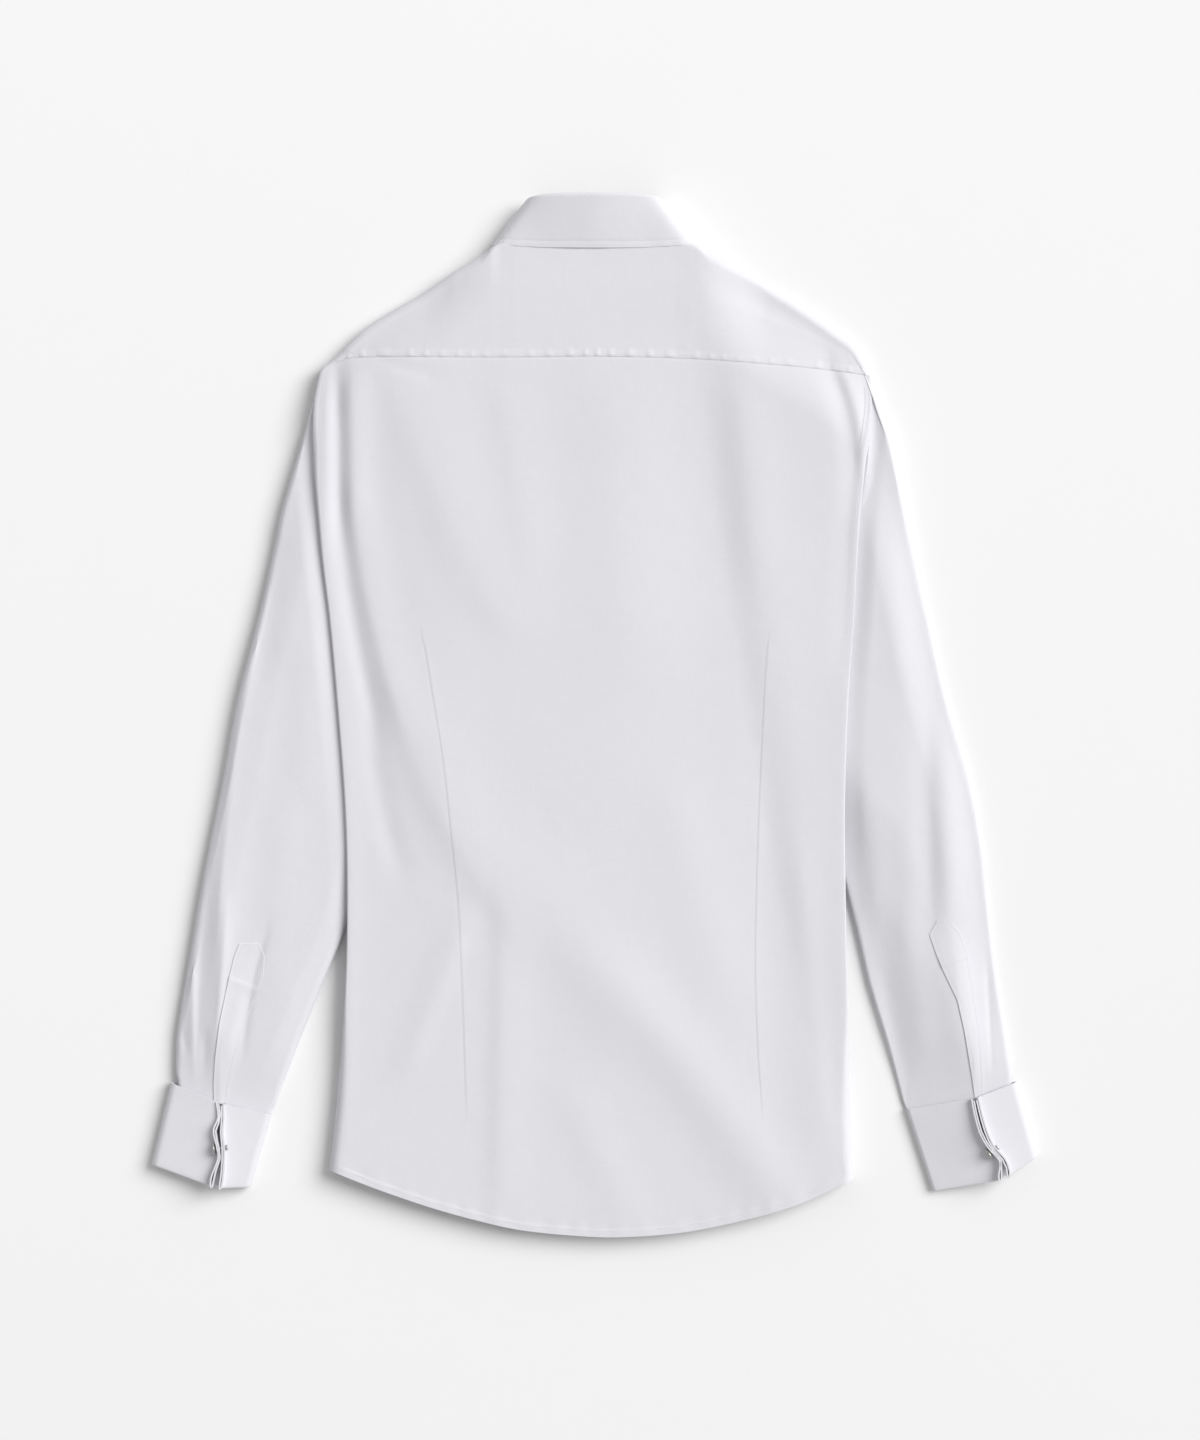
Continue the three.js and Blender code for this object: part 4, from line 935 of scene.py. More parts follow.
def armhole_ring(side):
    """The armhole: down the back's seam, round the armpit, up the front armhole and round the
    yoke's end, each point moved off the body's cloth."""
    sign = SIDES[side]
    y = mix(262, 124, RING_TOP)
    x, z = side_roll(side, y, 2 + 0 * y)
    turn = read(SIDE_ROLL, "y", y, "turn")
    angle = np.radians(turn)
    below = ease(60, 120, turn)
    aside = mix(-1.2 * np.cos(angle), 1.2, below)
    down = mix(0.45, 1.2, below)
    top = np.stack([x + sign * aside, y, z - down], -1)
    y = mix(120, 246, RING_BOTTOM)
    x = front_side(side, y)
    lift = under_height(x, y) - FLOOR
    bottom = np.stack([x + sign * (0.5 + 3.5 * lift / BODY_LIFT), y, FLOOR + 0.55 * lift], -1)
    seam_x = front_side(side, np.float64(ARMPIT_Y)) + sign * 2.5
    armpit = np.array([top[-1], [seam_x, 115, 11.4], [seam_x, 113, 9.4], bottom[0]])
    wrap = np.array([0.8, 0.6, 0.4, 0.25, 0.1, 0.001])
    yoke = yoke_place(sign * 213 + 0 * wrap, 1 + 0 * wrap, wrap) + [-sign * 0.6, -0.3, -0.1]
    shoulder = np.concatenate([bottom[-1:], yoke, top[:1]])

    def along(corners):
        t = np.linspace(0, 1, len(corners))
        return np.stack([np.interp(RING_END, t, corners[:, i]) for i in range(3)], -1)

    return np.concatenate([top, along(armpit), bottom, along(shoulder)])


def sleeve_ring(side, step):
    """A flattened ring at a step of SLEEVE_RINGS: its upper layer at sleeve_height, its under layer
    on the plane, and half circles between them at the outer and inner edges."""
    sign = SIDES[side]
    row = {name: read(SLEEVE_RINGS, "step", step, name) for name in SLEEVE_RINGS}
    outer = read(SLEEVE_OUTER, "y", row["outer"], side) - sign * row["tuck"]
    inner = read(SLEEVE_INNER, "y", row["inner"], side) + sign * row["tuck"]
    start = np.array([outer, row["outer"]])
    end = np.array([inner, row["inner"]])
    length = np.linalg.norm(end - start)
    outwards = np.array([sign * (row["outer"] - row["inner"]), -abs(inner - outer)])
    outwards /= np.linalg.norm(outwards)
    bottom = FLOOR + row["lift"]

    def place(distance):
        t = (distance / length)[..., None]
        return mix(start, end, t) + outwards * 4 * row["bow"] * t * (1 - t)

    def height(p):
        return sleeve_height(side, p[..., 0], p[..., 1], row["puff"])

    def point(distance, z):
        return np.concatenate([place(distance), (z + 0 * distance)[..., None]], -1)

    outer_radius = (height(start) - bottom) / 2
    inner_radius = (height(end) - bottom) / 2
    last = length - inner_radius
    across = mix(outer_radius, last, RING_TOP)
    turn = np.pi * (0.5 - RING_END)
    inner_end = point(
        last + inner_radius * np.cos(turn), bottom + inner_radius * (1 + np.sin(turn))
    )
    outer_end = point(
        outer_radius * (1 - np.cos(turn)), bottom + outer_radius * (1 - np.sin(turn))
    )
    under = point(mix(last, outer_radius, RING_BOTTOM), np.float64(bottom))
    return np.concatenate([point(across, height(place(across))), inner_end, under, outer_end])


def make_sleeve(side):
    """A sleeve: from the armhole ring it flows into the flattened rings."""
    armhole = armhole_ring(side)
    first = sleeve_ring(side, 0.0)
    rows = [armhole]
    for t in np.linspace(0, 1, 14)[1:-1]:
        between = mix(armhole, first, ease(0, 1, t) * 0.35 + t * 0.65)
        edge = np.abs(read(BODY_EDGE, "y", between[:, 1], side))
        free = ease(edge - 1, edge + 4, np.abs(between[:, 0]))
        cap = SLEEVE_TOP + mix(6, 1.5, t) * free
        between[:, 2] = np.minimum(between[:, 2], mix(between[:, 2], cap, ease(0, 0.3, t)))
        rows.append(between)
    rows += [sleeve_ring(side, step) for step in np.linspace(0, 13, 176)]
    return np.array(rows)


def placket_height(side, x, y):
    """Height of a sleeve placket, which lies on the sleeve's upper layer."""
    return sleeve_height(side, x, y, 0.3) + PLACKET_LIFT + folds(PLACKET_FOLDS[side], x, y)


def placket_edges(side, y):
    """The x of a sleeve placket's two long edges."""
    rows = SLEEVE_PLACKET[side]
    return [np.interp(-y, -rows["y"], rows[name]) for name in ("from", "to")]


def make_sleeve_placket(side):
    """A tower placket on the sleeve's upper layer: a strip with a house-shaped top."""
    rows = SLEEVE_PLACKET[side]
    t = spaced(rows["y"][0] - rows["y"][-1], 1.4)
    y = mix(rows["y"][0], rows["y"][-1], t)[:, None]
    start, end = placket_edges(side, y)
    share = spaced(22, 1.1, 0.5, at=(0, 22))
    x = mix(start, end, share)
    rim = np.minimum(share, 1 - share) * (end - start)
    z = placket_height(side, x, y) - 0.12 * np.exp(-(((rim - 1.8) / 0.8) ** 2))
    return np.stack([x, y + 0 * x, z], -1)


# ---------------------------------------------------------------- cuffs and cufflinks


def cuff_section(side, outer_x, inner_x, ends_x, gap, along):
    """A section across the cuff's inner layer, from one standing end down its slope to a side edge,
    flat along the plane, and up the other slope: rows of place across and height."""
    levels = CUFF_LEVELS[side]
    under = CUFF_OUTER_LEVEL + CUFF_LAYER
    fin_top = mix(levels["low_fin"], levels["fin"], float(ease(0, 0.45, along)))
    halves = []
    for edge_x, edge_top in ((outer_x, levels["outer"]), (inner_x, levels["inner"])):
        sign = math.copysign(1, edge_x - ends_x)
        radius = (edge_top - under) / 2
        rim = edge_x - sign * (CUFF_LAYER + CUFF_WALL / 2)
        base = np.array([ends_x + sign * gap, levels["base"] + CUFF_BEND])
        corner = np.array([ends_x + sign * gap, levels["base"]])
        shoulder = np.array([rim - sign * radius, edge_top])
        leave = corner + (shoulder - corner) * (1.6 * CUFF_BEND / abs(shoulder[0] - corner[0]))
        t = np.linspace(0, 1, 8)[:, None]
        fin = mix(np.array([base[0], fin_top]), base, t)
        t = np.linspace(0, 1, 12)[1:, None]
        bend = (1 - t) ** 2 * base + 2 * t * (1 - t) * corner + t**2 * leave
        t = np.linspace(0, 1, 20)[1:, None]
        slope = mix(leave, shoulder, t)
        a = np.radians(np.linspace(90, -90, 14)[1:])
        centre = shoulder - [0, radius]
        edge = np.stack([centre[0] + sign * radius * np.cos(a), centre[1] + radius * np.sin(a)], -1)
        t = np.linspace(0, 1, 14)[1:, None]
        floor = mix(edge[-1], np.array([ends_x, under]), t)
        halves.append(np.concatenate([fin, bend, slope, edge, floor]))
    return np.concatenate([halves[0], halves[1][-2::-1]])


def cuff_place(side, along):
    """The cuff's edges and meeting ends at a share of the way from its turned-back edge (0) to its
    wrist fold (1)."""
    cuff = CUFF[side]
    outer, inner = (mix(np.array(cuff[n][0]), np.array(cuff[n][1]), along) for n in ("outer", "inner"))
    ends = [float(read(cuff["ends"], "along", along, n)) for n in ("x", "y", "gap")]
    return outer, inner, ends


def make_cuff(side):
    """A double cuff: the inner layer runs down to the wrist fold, turns through a half circle and
    runs back up to the turned-back edge, all round the band and along its standing ends. Each
    layer is the section moved outwards along its own normals."""
    (top, wrist) = CUFF[side]["outer"]
    length = math.dist(top, wrist)
    bend = CUFF_LAYER / 2 / length
    fold = 1 - bend - CUFF_WALL / 2 / length
    down = [(mix(CUFF_UNDERLAP / length, fold, t), 0) for t in np.linspace(0, 1, 9)[:-1]]
    turn = [
        (fold + bend * math.cos(a), CUFF_LAYER / 2 * (1 + math.sin(a)))
        for a in np.linspace(-math.pi / 2, math.pi / 2, 9)
    ]
    up = [(t * fold, CUFF_LAYER) for t in np.linspace(1, 0, 30)[1:]]
    rows = []
    for along, out in down + turn + up:
        outer, inner, ends = cuff_place(side, along)
        section = cuff_section(side, outer[0], inner[0], ends[0], ends[2], along)
        slope = np.gradient(section, axis=0)
        normal = np.stack([slope[:, 1], -slope[:, 0]], -1)
        normal /= np.linalg.norm(normal, axis=1, keepdims=True)
        normal *= -math.copysign(1, outer[0] - ends[0])
        px, pz = (section + normal * out).T
        near_outer = (px < ends[0]) == (outer[0] < ends[0])
        far_x = np.where(near_outer, outer[0], inner[0])
        far_y = np.where(near_outer, outer[1], inner[1])
        share = np.clip((px - ends[0]) / (far_x - ends[0]), 0, 1)
        rows.append(np.stack([px, mix(ends[1], far_y, share), pz], -1))
    return np.array(rows)


AXIS = 0.01  # radius at which a turned profile starts and ends


def lathe(name, profile, count, place, turn):
    """A turned piece from (radius, length) pairs, its axis laid along X, turned about the vertical
    and moved to its place."""
    radius, length = np.array(profile, float).T
    a = 2 * np.pi * np.arange(count) / count
    x = length[:, None] + 0 * a
    y = radius[:, None] * np.cos(a)
    z = radius[:, None] * np.sin(a)
    cos, sin = math.cos(turn), math.sin(turn)
    points = np.stack([x * cos - y * sin, x * sin + y * cos, z], -1) + np.array(place)
    ids = np.arange(len(radius) * count).reshape(len(radius), count)
    ahead = np.roll(ids, -1, 1)
    faces = np.stack([ids[:-1], ids[1:], ahead[1:], ahead[:-1]], -1).reshape(-1, 4)
    flat = points.reshape(-1, 3)
    return make_object(name, flat, outward(flat, faces))


def make_cufflink(side):
    """A cufflink: a domed face disc on the left of the standing ends, a post through them and a
    rounded toggle beyond."""
    _, _, here = cuff_place(side, LINK_ALONG)
    _, _, above = cuff_place(side, LINK_ALONG - 0.1)
    _, _, below = cuff_place(side, LINK_ALONG + 0.1)
    turn = math.atan2(below[0] - above[0], above[1] - below[1])
    clear = here[2] + CUFF_LAYER + CUFF_WALL / 2 + 0.3
    t = np.linspace(0, 1, 9)
    half = t * math.pi / 2
    dome = [(LINK_FACE * math.sin(a), -clear - 1.9 - 0.6 * math.cos(a)) for a in half]
    rim = [
        (LINK_FACE + LINK_RIM * math.sin(a), -clear - 1.4 - LINK_RIM * math.cos(a))
        for a in t * math.pi
    ]
    waist = [(LINK_POST + 1.6 * (1 - s) ** 3, -clear - 0.85 + 1.4 * s) for s in t]
    bar = [
        (LINK_TOGGLE + LINK_RIM * math.sin(a), clear + LINK_RIM - LINK_RIM * math.cos(a)) for a in half
    ]
    cap = [
        (LINK_TOGGLE + LINK_RIM * math.cos(a), clear + 1.0 + LINK_RIM * math.sin(a)) for a in half
    ]
    profile = [(AXIS, dome[0][1])] + dome[1:] + rim + waist + [(LINK_POST, clear)] + bar + cap
    profile += [(AXIS, clear + 1.5)]
    return lathe(f"cufflink_{side}_metal", profile, 48, (here[0], here[1], LINK_LEVEL), turn)


# ---------------------------------------------------------------- collar

LEAF_ROLL = 2.4  # radius of the rounded fold
LEAF_DEPTH = 42


def leaf_rows():
    """Shares of the way from the leaf's fold to its edge, closest at its stitching."""
    return spaced(LEAF_DEPTH, 1.5, 0.5, at=(0, LEAF_DEPTH - LEAF_STITCH, LEAF_DEPTH))


def make_collar_leaf():
    """The leaf, from its rounded fold to its free edge, by stations from the middle of the back to
    both front points; it is crowned a little between the two."""
    half = spaced(11, 0.11, 0.05, at=(3.5,)) * 11
    stations = np.concatenate([-half[:0:-1], half])
    s = np.abs(stations)
    sign = np.where(stations < 0, -1.0, 1.0)
    fold, edge = (
        np.stack([sign * read(COLLAR_LEAF, "station", s, f"{end}_x"),
                  read(COLLAR_LEAF, "station", s, f"{end}_y"),
                  read(COLLAR_LEAF, "station", s, f"{end}_z")], -1)
        for end in ("fold", "edge")
    )
    t = leaf_rows()
    grid = mix(fold[None], edge[None], t[:, None, None])
    width = np.linalg.norm(edge - fold, axis=1)
    off = t[:, None] * width
    flat = ease(12, 21, grid[..., 2])
    across = grid[..., 0]
    crest = 1.6 * ease(-30, 6, across) - 4.6 * ease(2, 60, across + 16 * t[:, None])
    left_end = -3.6 * ease(-20, -62, across)
    share = 1 - 0.75 * t[:, None] ** 2
    grid[..., 2] += flat * (share * (crest + left_end) - 1.1 * t[:, None])
    inward = normals(grid)
    inward *= np.where(inward[:, len(half) - 1 : len(half), 2:] < 0, -1, 1)
    near = np.clip((LEAF_ROLL - off) / LEAF_ROLL, 0, 1)
    drop = LEAF_ROLL * (1 - np.sqrt(1 - near**2))
    crown = 0.5 * np.sin(np.pi * t[:, None]) + 0 * off
    groove = 0.22 * np.exp(-(((width - off - LEAF_STITCH) / 1.2) ** 2))
    ripple = 0.13 * np.sin(stations * 9 + np.sin(stations * 4)) * np.exp(-(((width - off) / 5) ** 2))
    grid = grid + inward * (crown - drop - groove + ripple)[..., None]
    grid[..., 2] = np.maximum(grid[..., 2], FUSED / 2 + 0.1)
    return grid


def make_collar_stand():
    """The stand, from just inside the leaf's fold to the neck seam; its right end lies over its
    left end under the collar button."""

    def station(s, sign):
        row = {name: read(STAND, "station", s, name) for name in ("x", "y", "z")}
        top = np.stack([sign * row["x"], row["y"], row["z"]], -1)
        i = STAND["station"]
        yoke_x = np.interp(s, i[:9], STAND["yoke"][:9])
        front = np.interp(s, i[9:], STAND["front"][9:])
        on_yoke = yoke_place(sign * yoke_x, 1 + 0 * s, 1 + 0 * s)
        on_yoke[:, 2] -= 0.4
        seam = np.stack([front, read(FRONT_NECK, "out", np.abs(front), "y")], -1)
        towards = np.array(NECK_CENTRE) - seam
        seam = seam + towards * (1.2 / np.linalg.norm(towards, axis=1, keepdims=True))
        on_front = np.stack([sign * seam[:, 0], seam[:, 1], row["z"]], -1)
        low = mix(on_yoke, on_front, ease(8, 9, s)[:, None])
        over = STAND_OVERLAP * ease(42, 12, front) * ease(9, 10, s) if sign > 0 else 0 * s
        t = np.linspace(0, 1, 12)[:, None, None]
        grid = mix(top[None], low[None], t)
        grid[..., 2] += over
        return grid

    half = spaced(14, 0.12, 0.06, at=(4, 6)) * 14
    left = station(half[:0:-1], -1)
    right = station(half, 1)
    return np.concatenate([left, right], 1)


# ---------------------------------------------------------------- buttons


def make_buttons():
    """Four-hole shirt buttons on the under side, each a dished disc drilled through; the thread crossing
    their holes is made by button_threads."""
    dish = [(AXIS, 0.75), (2.9, 0.8), (3.6, 0.2), (4.3, 0), (5.0, 0.12)]
    edge = [(BUTTON_RADIUS, 0.8), (5.4, 1.6), (4.9, BUTTON_HEIGHT), (AXIS, BUTTON_HEIGHT)]
    base = lathe("button_blank", dish + edge, 48, (0, 0, 0), 0)
    places = np.empty(3 * len(base.data.vertices))
    base.data.vertices.foreach_get("co", places)
    base.data.vertices.foreach_set("co", places.reshape(-1, 3)[:, [1, 2, 0]].ravel())
    base.data.update()
    base.update_tag()
    bpy.context.view_layer.update()
    drills = []
    for i in range(4):
        a = math.pi / 4 + i * math.pi / 2
        bpy.ops.mesh.primitive_cylinder_add(
            vertices=16, radius=0.85 * MM, depth=8 * MM,
            location=(HOLE_OUT * math.cos(a) * MM, HOLE_OUT * math.sin(a) * MM, 1 * MM),
        )
        drills.append(bpy.context.object)
        cut = base.modifiers.new("hole", "BOOLEAN")
        cut.operation, cut.solver, cut.object = "DIFFERENCE", "EXACT", drills[-1]
    drilled = bpy.data.meshes.new_from_object(
        base.evaluated_get(bpy.context.evaluated_depsgraph_get())
    )
    for drill in drills:
        bpy.data.objects.remove(drill)
    bpy.data.objects.remove(base)
    places = [(f"button_{i + 1}", BUTTON_TOP_Y - i * BUTTON_PITCH) for i in range(BUTTON_COUNT)]
    made = []
    for name, y in places + [("collar_button", COLLAR_BUTTON_Y)]:
        mesh = drilled.copy()
        mesh.transform(((1, 0, 0, 0), (0, 1, 0, y * MM), (0, 0, 1, 0), (0, 0, 0, 1)))
        mesh.set_sharp_from_angle(angle=math.radians(40))
        obj = bpy.data.objects.new(f"{name}_pearl", mesh)
        bpy.context.scene.collection.objects.link(obj)
        made.append((name, obj, y))
    return made


def button_threads(places):
    """Two threads side by side over each pair of holes of every button."""
    angle = np.arange(6) * math.pi / 3
    t = np.linspace(-1, 1, 7)
    rods = []
    for y in places:
        for turn in (math.pi / 4, -math.pi / 4):
            for off in (-0.22, 0.22):
                x = HOLE_OUT * t
                z = 0.62 + 1.1 * np.abs(t) ** 6
                centre = np.stack([x, off + 0 * x, z], -1)
                ring = 0.2 * np.stack([0 * angle, np.cos(angle), np.sin(angle)], -1)
                rod = centre[:, None] + ring[None]
                c, s = math.cos(turn), math.sin(turn)
                spun = rod @ np.array([[c, s, 0], [-s, c, 0], [0, 0, 1]])
                rods.append(spun + [0, y, 0])
    points = np.array(rods)
    ids = np.arange(42).reshape(7, 6)
    ahead = np.roll(ids, -1, 1)
    sides = np.stack([ids[:-1], ids[1:], ahead[1:], ahead[:-1]], -1).reshape(-1, 4)
    ends = np.array([[0, 1, 2, 3], [0, 3, 4, 5], [39, 38, 37, 36], [41, 40, 39, 36]])
    faces = outward(points[0].reshape(-1, 3), np.concatenate([sides, ends]))
    every = (faces[None] + 42 * np.arange(len(points))[:, None, None]).reshape(-1, 4)
    return make_object("button_thread", points.reshape(-1, 3), every)


# ---------------------------------------------------------------- topstitching

LONG_ROW = 700  # points along a row of stitches
SHORT_ROW = 300
LEAF_ROW = 900


def stitch_line(x, y, height, lift=0.0):
    """Stitches along a line on cloth seen from above, whose height is given by a function."""
    path = np.stack([x, y, height(x, y) + lift], -1)
    up = np.stack([-np.gradient(path[:, 2]) / np.gradient(x) if np.ptp(x) > np.ptp(y) else 0 * x,
                   0 * y, 0 * x + 1], -1)
    stitches(path, up)


def sew_top():
    """Topstitching of the yoke, the hem, the armholes and the sleeve plackets."""
    x = np.linspace(-196, 200, LONG_ROW)
    yoke_y = read(YOKE_SEAM, "x", x, "y") + YOKE_STITCH
    stitch_line(x, yoke_y, lambda a, b: top_height(a, b) + yoke_puckers(a, b), CLOTH / 2)
    x = np.linspace(-192, 188, LONG_ROW)
    hem_y = read(HEM, "x", x, "y") + HEM_WIDTH - 1.0
    stitch_line(x, hem_y, lambda a, b: top_height(a, b) + 0.35, CLOTH / 2)
    for side, sign in SIDES.items():
        y = np.linspace(256, 150, SHORT_ROW)
        x = side_roll(side, y, 0 * y)[0] - sign * 2.5
        stitch_line(x, y, top_height, CLOTH / 2)
        rows = SLEEVE_PLACKET[side]
        y = np.linspace(rows["y"][0] - 3, rows["y"][-1] + 6, SHORT_ROW)
        start, end = placket_edges(side, y)
        for x in (start + 1.6, end - 1.6):
            stitch_line(x, y, lambda a, b: placket_height(side, a, b), 0.2)


def sew_leaf(leaf):
    """The row of stitches along the collar leaf's edge."""
    rows = leaf_rows() * LEAF_DEPTH
    row = int(np.argmin(np.abs(rows - (LEAF_DEPTH - LEAF_STITCH))))
    columns = np.linspace(2, leaf.shape[1] - 3, LEAF_ROW)
    stitch_grid(leaf, row + 0 * columns, columns, FUSED)


# ---------------------------------------------------------------- finishes


class Finish:
    """A material whose nodes are added and joined by short calls."""

    def __init__(self, name, colour, roughness):
        self.material = bpy.data.materials.new(name)
        self.material.use_nodes = True
        self.tree = self.material.node_tree
        self.shader = self.tree.nodes["Principled BSDF"]
        self.shader.inputs["Base Color"].default_value = (*colour, 1)
        self.shader.inputs["Roughness"].default_value = roughness

    def add(self, kind, **values):
        node = self.tree.nodes.new(kind)
        for key, value in values.items():
            if key in node.inputs:
                node.inputs[key].default_value = value
            else:
                setattr(node, key, value)
        return node

    def join(self, source, target):
        self.tree.links.new(source, target)

    def maths(self, operation, a, b=None):
        """One arithmetic node; a and b are sockets or numbers."""
        node = self.add("ShaderNodeMath", operation=operation)
        for value, socket in zip((a, b), node.inputs):
            if value is None:
                continue
            if isinstance(value, (int, float)):
                socket.default_value = value
            else:
                self.join(value, socket)
        return node.outputs[0]


def cloth_finish(name, colour, roughness, thread, relief):
    """Plain woven cotton: warp and weft as two crossed sine waves of the thread's pitch, long thin
    slubs along both threads in colour and height, and faint soft unevenness from handling."""
    f = Finish(name, colour, roughness)
    f.shader.inputs["Sheen Weight"].default_value = 0.08
    f.shader.inputs["Sheen Roughness"].default_value = 0.45
    f.shader.inputs["Specular IOR Level"].default_value = 0.28
    uv = f.add("ShaderNodeUVMap", uv_map="weave")
    split = f.add("ShaderNodeSeparateXYZ")
    f.join(uv.outputs[0], split.inputs[0])
    turns = 2 * math.pi / (thread * MM)
    waves = [f.maths("SINE", f.maths("MULTIPLY", split.outputs[i], turns)) for i in (0, 1)]
    weave = f.maths("MULTIPLY", *waves)
    slubs = []
    for stretch in ((1500, 60, 1), (60, 1500, 1)):
        place = f.add("ShaderNodeMapping", Scale=stretch)
        f.join(uv.outputs[0], place.inputs[0])
        noise = f.add("ShaderNodeTexNoise", Scale=1.0, Detail=2.0)
        f.join(place.outputs[0], noise.inputs["Vector"])
        slubs.append(noise.outputs[0])
    slub = f.maths("ADD", *slubs)
    where = f.add("ShaderNodeTexCoord")
    soft = f.add("ShaderNodeTexNoise", Scale=38.0, Detail=3.0, Roughness=0.5)
    f.join(where.outputs["Object"], soft.inputs["Vector"])
    tint = f.add("ShaderNodeMix", data_type="RGBA")
    f.join(f.maths("SUBTRACT", slub, 0.5), tint.inputs[0])
    tint.inputs[6].default_value = (*[c * 0.975 for c in colour], 1)
    tint.inputs[7].default_value = (*[min(c * 1.025, 1) for c in colour], 1)
    f.join(tint.outputs[2], f.shader.inputs["Base Color"])
    fine = f.add("ShaderNodeBump", Strength=1.0, Distance=relief * MM)
    f.join(f.maths("ADD", weave, slub), fine.inputs["Height"])
    broad = f.add("ShaderNodeBump", Strength=1.0, Distance=0.35 * MM)
    f.join(soft.outputs[0], broad.inputs["Height"])
    f.join(fine.outputs[0], broad.inputs["Normal"])
    f.join(broad.outputs[0], f.shader.inputs["Normal"])
    return f.material


def thread_finish(name, colour):
    """Polyester-wrapped cotton thread: its twist as a fine slanted wave."""
    f = Finish(name, colour, 0.55)
    where = f.add("ShaderNodeTexCoord")
    twist = f.add("ShaderNodeTexWave", Scale=2600.0, Distortion=1.0, bands_direction="DIAGONAL")
    f.join(where.outputs["Object"], twist.inputs["Vector"])
    bump = f.add("ShaderNodeBump", Strength=0.5, Distance=0.03 * MM)
    f.join(twist.outputs[0], bump.inputs["Height"])
    f.join(bump.outputs[0], f.shader.inputs["Normal"])
    return f.material


def pearl_finish(name):
    """Mother of pearl: soft banded clouds between cream, grey and a little rose."""
    f = Finish(name, (0.86, 0.84, 0.8), 0.22)
    f.shader.inputs["Coat Weight"].default_value = 0.4
    where = f.add("ShaderNodeTexCoord")
    cloud = f.add("ShaderNodeTexNoise", Scale=260.0, Detail=3.0, Distortion=1.5)
    f.join(where.outputs["Object"], cloud.inputs["Vector"])
    ramp = f.add("ShaderNodeValToRGB")
    stops = ramp.color_ramp.elements
    stops[0].position, stops[0].color = 0.3, (0.74, 0.72, 0.7, 1)
    stops[1].position, stops[1].color = 0.7, (0.92, 0.9, 0.87, 1)
    stops.new(0.52).color = (0.88, 0.82, 0.8, 1)
    f.join(cloud.outputs[0], ramp.inputs[0])
    f.join(ramp.outputs[0], f.shader.inputs["Base Color"])
    return f.material


def pewter_finish(name):
    """Brushed white metal: fine scratches in its roughness and height, tarnish in its colour."""
    f = Finish(name, (0.5, 0.49, 0.47), 0.3)
    f.shader.inputs["Metallic"].default_value = 1.0
    where = f.add("ShaderNodeTexCoord")
    place = f.add("ShaderNodeMapping", Scale=(900, 900, 9000))
    f.join(where.outputs["Object"], place.inputs[0])
    brushed = f.add("ShaderNodeTexNoise", Scale=1.0, Detail=3.0)
    f.join(place.outputs[0], brushed.inputs["Vector"])
    rough = f.add("ShaderNodeMapRange", **{"To Min": 0.24, "To Max": 0.42})
    f.join(brushed.outputs[0], rough.inputs[0])
    f.join(rough.outputs[0], f.shader.inputs["Roughness"])
    patches = f.add("ShaderNodeTexNoise", Scale=420.0, Detail=2.0)
    f.join(where.outputs["Object"], patches.inputs["Vector"])
    tint = f.add("ShaderNodeMix", data_type="RGBA")
    f.join(patches.outputs[0], tint.inputs[0])
    tint.inputs[6].default_value = (0.46, 0.45, 0.43, 1)
    tint.inputs[7].default_value = (0.66, 0.65, 0.63, 1)
    f.join(tint.outputs[2], f.shader.inputs["Base Color"])
    bump = f.add("ShaderNodeBump", Strength=0.3, Distance=0.02 * MM)
    f.join(brushed.outputs[0], bump.inputs["Height"])
    f.join(bump.outputs[0], f.shader.inputs["Normal"])
    return f.material


def painted_falloff_floor_finish(name):
    """Pale matt surface with painted shade: its colour grows a little darker towards the lower left,
    away from the key light, as that light's falloff would make it, with a faint grain.
    """
    f = Finish(name, (0.9, 0.9, 0.9), 0.9)
    f.shader.inputs["Specular IOR Level"].default_value = 0.1
    where = f.add("ShaderNodeTexCoord")
    split = f.add("ShaderNodeSeparateXYZ")
    f.join(where.outputs["Object"], split.inputs[0])
    grain = f.add("ShaderNodeTexNoise", Scale=30.0, Detail=4.0)
    f.join(where.outputs["Object"], grain.inputs["Vector"])
    # Painted shade: the colour is graded darker to the lower left and lighter to the upper right,
    # standing in for the key light's falloff; the grain added below is the surface's own.
    away = f.maths("ADD", f.maths("MULTIPLY", split.outputs[0], 0.35), split.outputs[1])
    share = f.maths("ADD", f.maths("MULTIPLY", away, 0.8), 0.5)
    share = f.maths("ADD", share, f.maths("MULTIPLY", f.maths("SUBTRACT", grain.outputs[0], 0.5), 0.1))
    ramp = f.add("ShaderNodeValToRGB")
    stops = ramp.color_ramp.elements
    stops[0].position, stops[0].color = 0.0, (0.865, 0.865, 0.865, 1)
    stops[1].position, stops[1].color = 1.0, (0.915, 0.915, 0.915, 1)
    f.join(share, ramp.inputs[0])
    f.join(ramp.outputs[0], f.shader.inputs["Base Color"])
    return f.material


# ---------------------------------------------------------------- camera, light and floor

VIEW_CENTRE = (4.3, -3.5, 14)
VIEW_HEIGHT = 1123.2  # of the strip of the shirt's plane that the picture takes in


def make_camera():
    """A camera straight above, whose long side takes in VIEW_HEIGHT at the shirt's own level."""
    data = bpy.data.cameras.new("camera")
    data.lens, data.sensor_width = 100, 36
    camera = bpy.data.objects.new("camera", data)
    distance = VIEW_HEIGHT * data.lens / data.sensor_width
    camera.location = [v * MM for v in (*VIEW_CENTRE[:2], VIEW_CENTRE[2] + distance)]
    bpy.context.scene.collection.objects.link(camera)
    bpy.context.scene.camera = camera


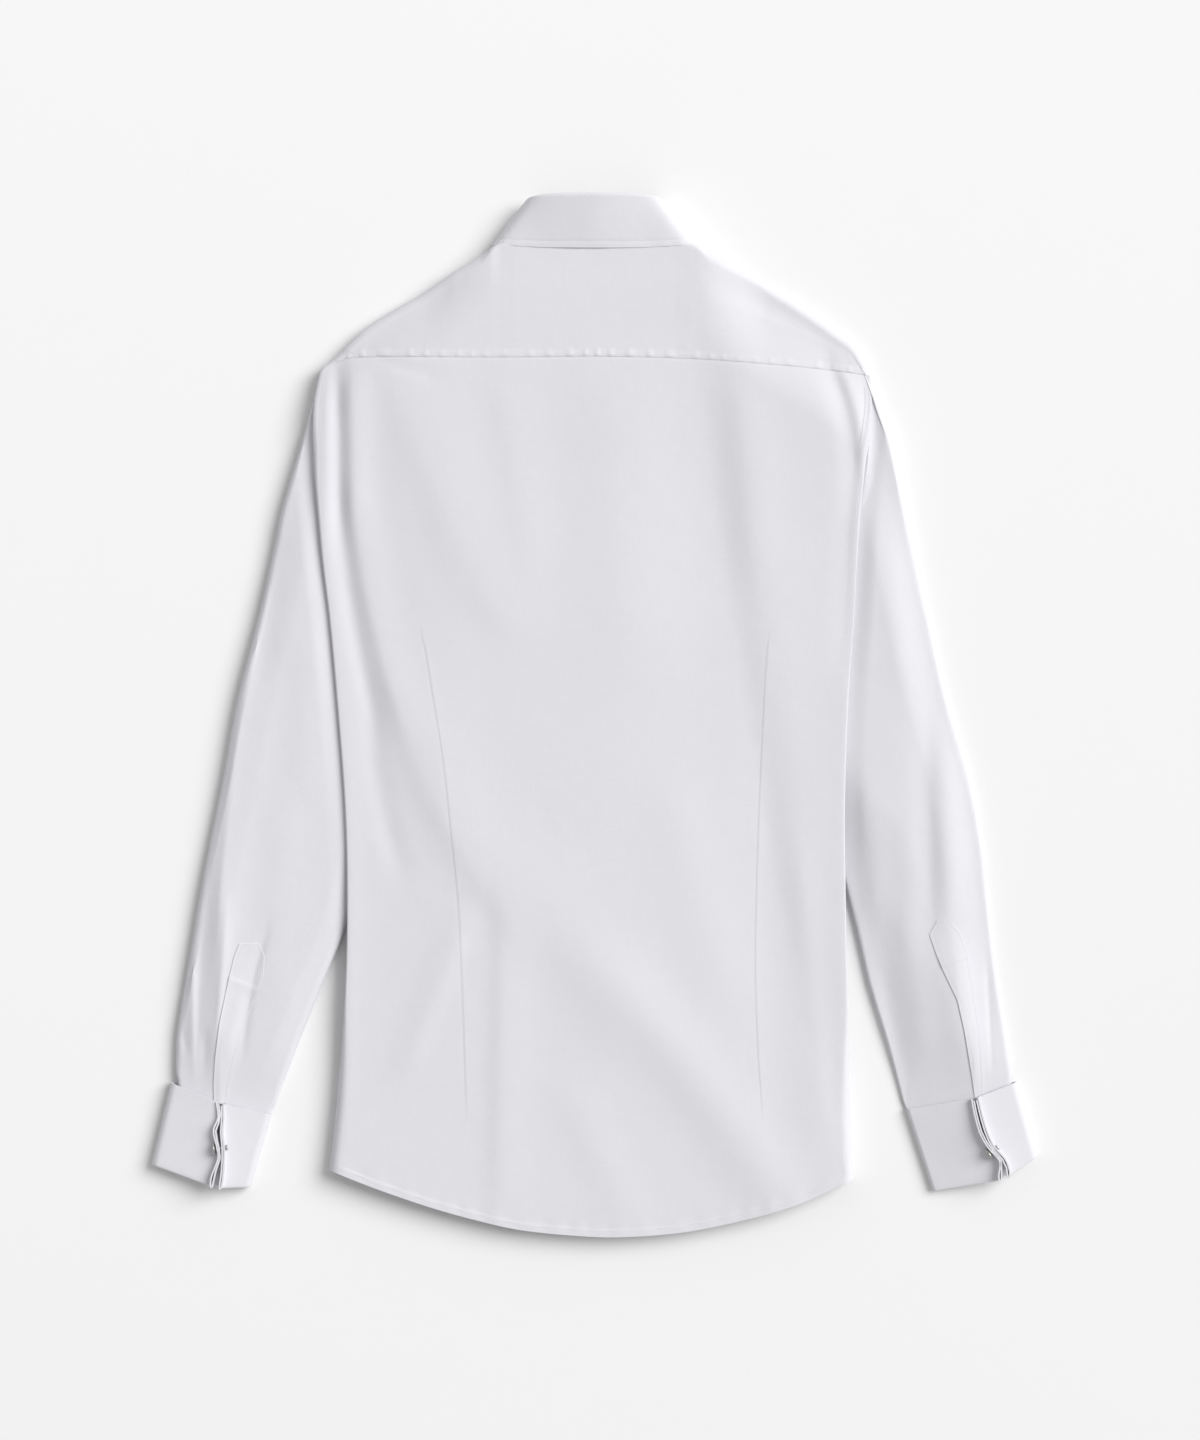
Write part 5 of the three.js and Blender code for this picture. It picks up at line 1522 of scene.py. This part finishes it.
def make_light():
    """A soft key from the upper right, and an even pale surround that fills the shadows."""
    key = bpy.data.lights.new("key", "SUN")
    key.energy, key.angle = 2.85, math.radians(40)
    lamp = bpy.data.objects.new("key", key)
    azimuth, elevation = math.radians(28), math.radians(41)
    lamp.rotation_euler = (0, math.pi / 2 - elevation, azimuth)
    bpy.context.scene.collection.objects.link(lamp)
    world = bpy.data.worlds.new("surround")
    world.use_nodes = True
    world.node_tree.nodes["Background"].inputs[0].default_value = (1, 1, 1, 1)
    world.node_tree.nodes["Background"].inputs[1].default_value = 0.43
    bpy.context.scene.world = world
    bpy.context.scene.view_settings.view_transform = "Standard"


def make_floor():
    size = 40000
    corners = [(-size, -size, 0), (size, -size, 0), (size, size, 0), (-size, size, 0)]
    floor = make_object("floor", corners, [(0, 1, 2, 3)])
    floor.data.materials.append(painted_falloff_floor_finish("pale_floor_painted_falloff"))
    return floor


# ---------------------------------------------------------------- the shirt

make_camera()
make_light()
make_floor()

poplin = cloth_finish("white_poplin", (0.75, 0.743, 0.78), 0.78, 0.42, 0.03)
fused = cloth_finish("fused_poplin", (0.75, 0.743, 0.777), 0.72, 0.42, 0.025)
thread = thread_finish("white_thread", (0.78, 0.775, 0.8))
pearl = pearl_finish("mother_of_pearl")
pewter = pewter_finish("pewter")


def finish_piece(obj, finish, nodes):
    """Gives a piece its material and body, and hides the plain solids it stands for."""
    obj.data.materials.clear()
    obj.data.materials.append(finish)
    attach(obj, "root")
    if nodes:
        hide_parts(*nodes)
    return obj


def cloth_piece(name, grid, node, stiff=0, looped=False):
    """One piece of cloth as a thin shell. stiff is the thickness of a piece with interlining, and 0 for
    plain poplin."""
    obj = wall(name, grid, stiff or CLOTH, looped)
    finish_piece(obj, fused if stiff else poplin, [node])
    return obj


back = make_back()
cloth_piece("back_panel", back, "back")
yoke = make_yoke()
cloth_piece("yoke_panel", yoke, "yoke")
for side, area in (("left", 0.114), ("right", 0.134)):
    cloth_piece(f"{side}_front_panel", make_front(side), f"{side}_front")
placket = make_front_placket()
cloth_piece("front_placket_strip", placket, "front_placket")
for side in SIDES:
    sleeve = make_sleeve(side)
    cloth_piece(
        f"sleeve_{side}_cloth", sleeve, f"sleeve_{side}", looped=True
    )
    strip = make_sleeve_placket(side)
    cloth_piece(
        f"sleeve_placket_{side}_strip", strip, f"sleeve_placket_{side}",
        stiff=0.65,
    )
    cuff = make_cuff(side)
    cloth_piece(
        f"cuff_{side}_band", cuff, f"cuff_{side}", stiff=CUFF_WALL
    )
    link = make_cufflink(side)
    finish_piece(link, pewter, [f"cufflink_{side}"])
leaf = make_collar_leaf()
cloth_piece("collar_leaf_cloth", leaf, "collar_leaf", stiff=FUSED)
stand = make_collar_stand()
cloth_piece("collar_stand_cloth", stand, "collar_stand", stiff=FUSED)

sew_top()
sew_leaf(leaf)
sewing = make_stitches("topstitching")
finish_piece(sewing, thread, [])

buttons = make_buttons()
for node, button, _ in buttons:
    finish_piece(button, pearl, [node])
crosses = button_threads([y for _, _, y in buttons])
finish_piece(crosses, thread, [])
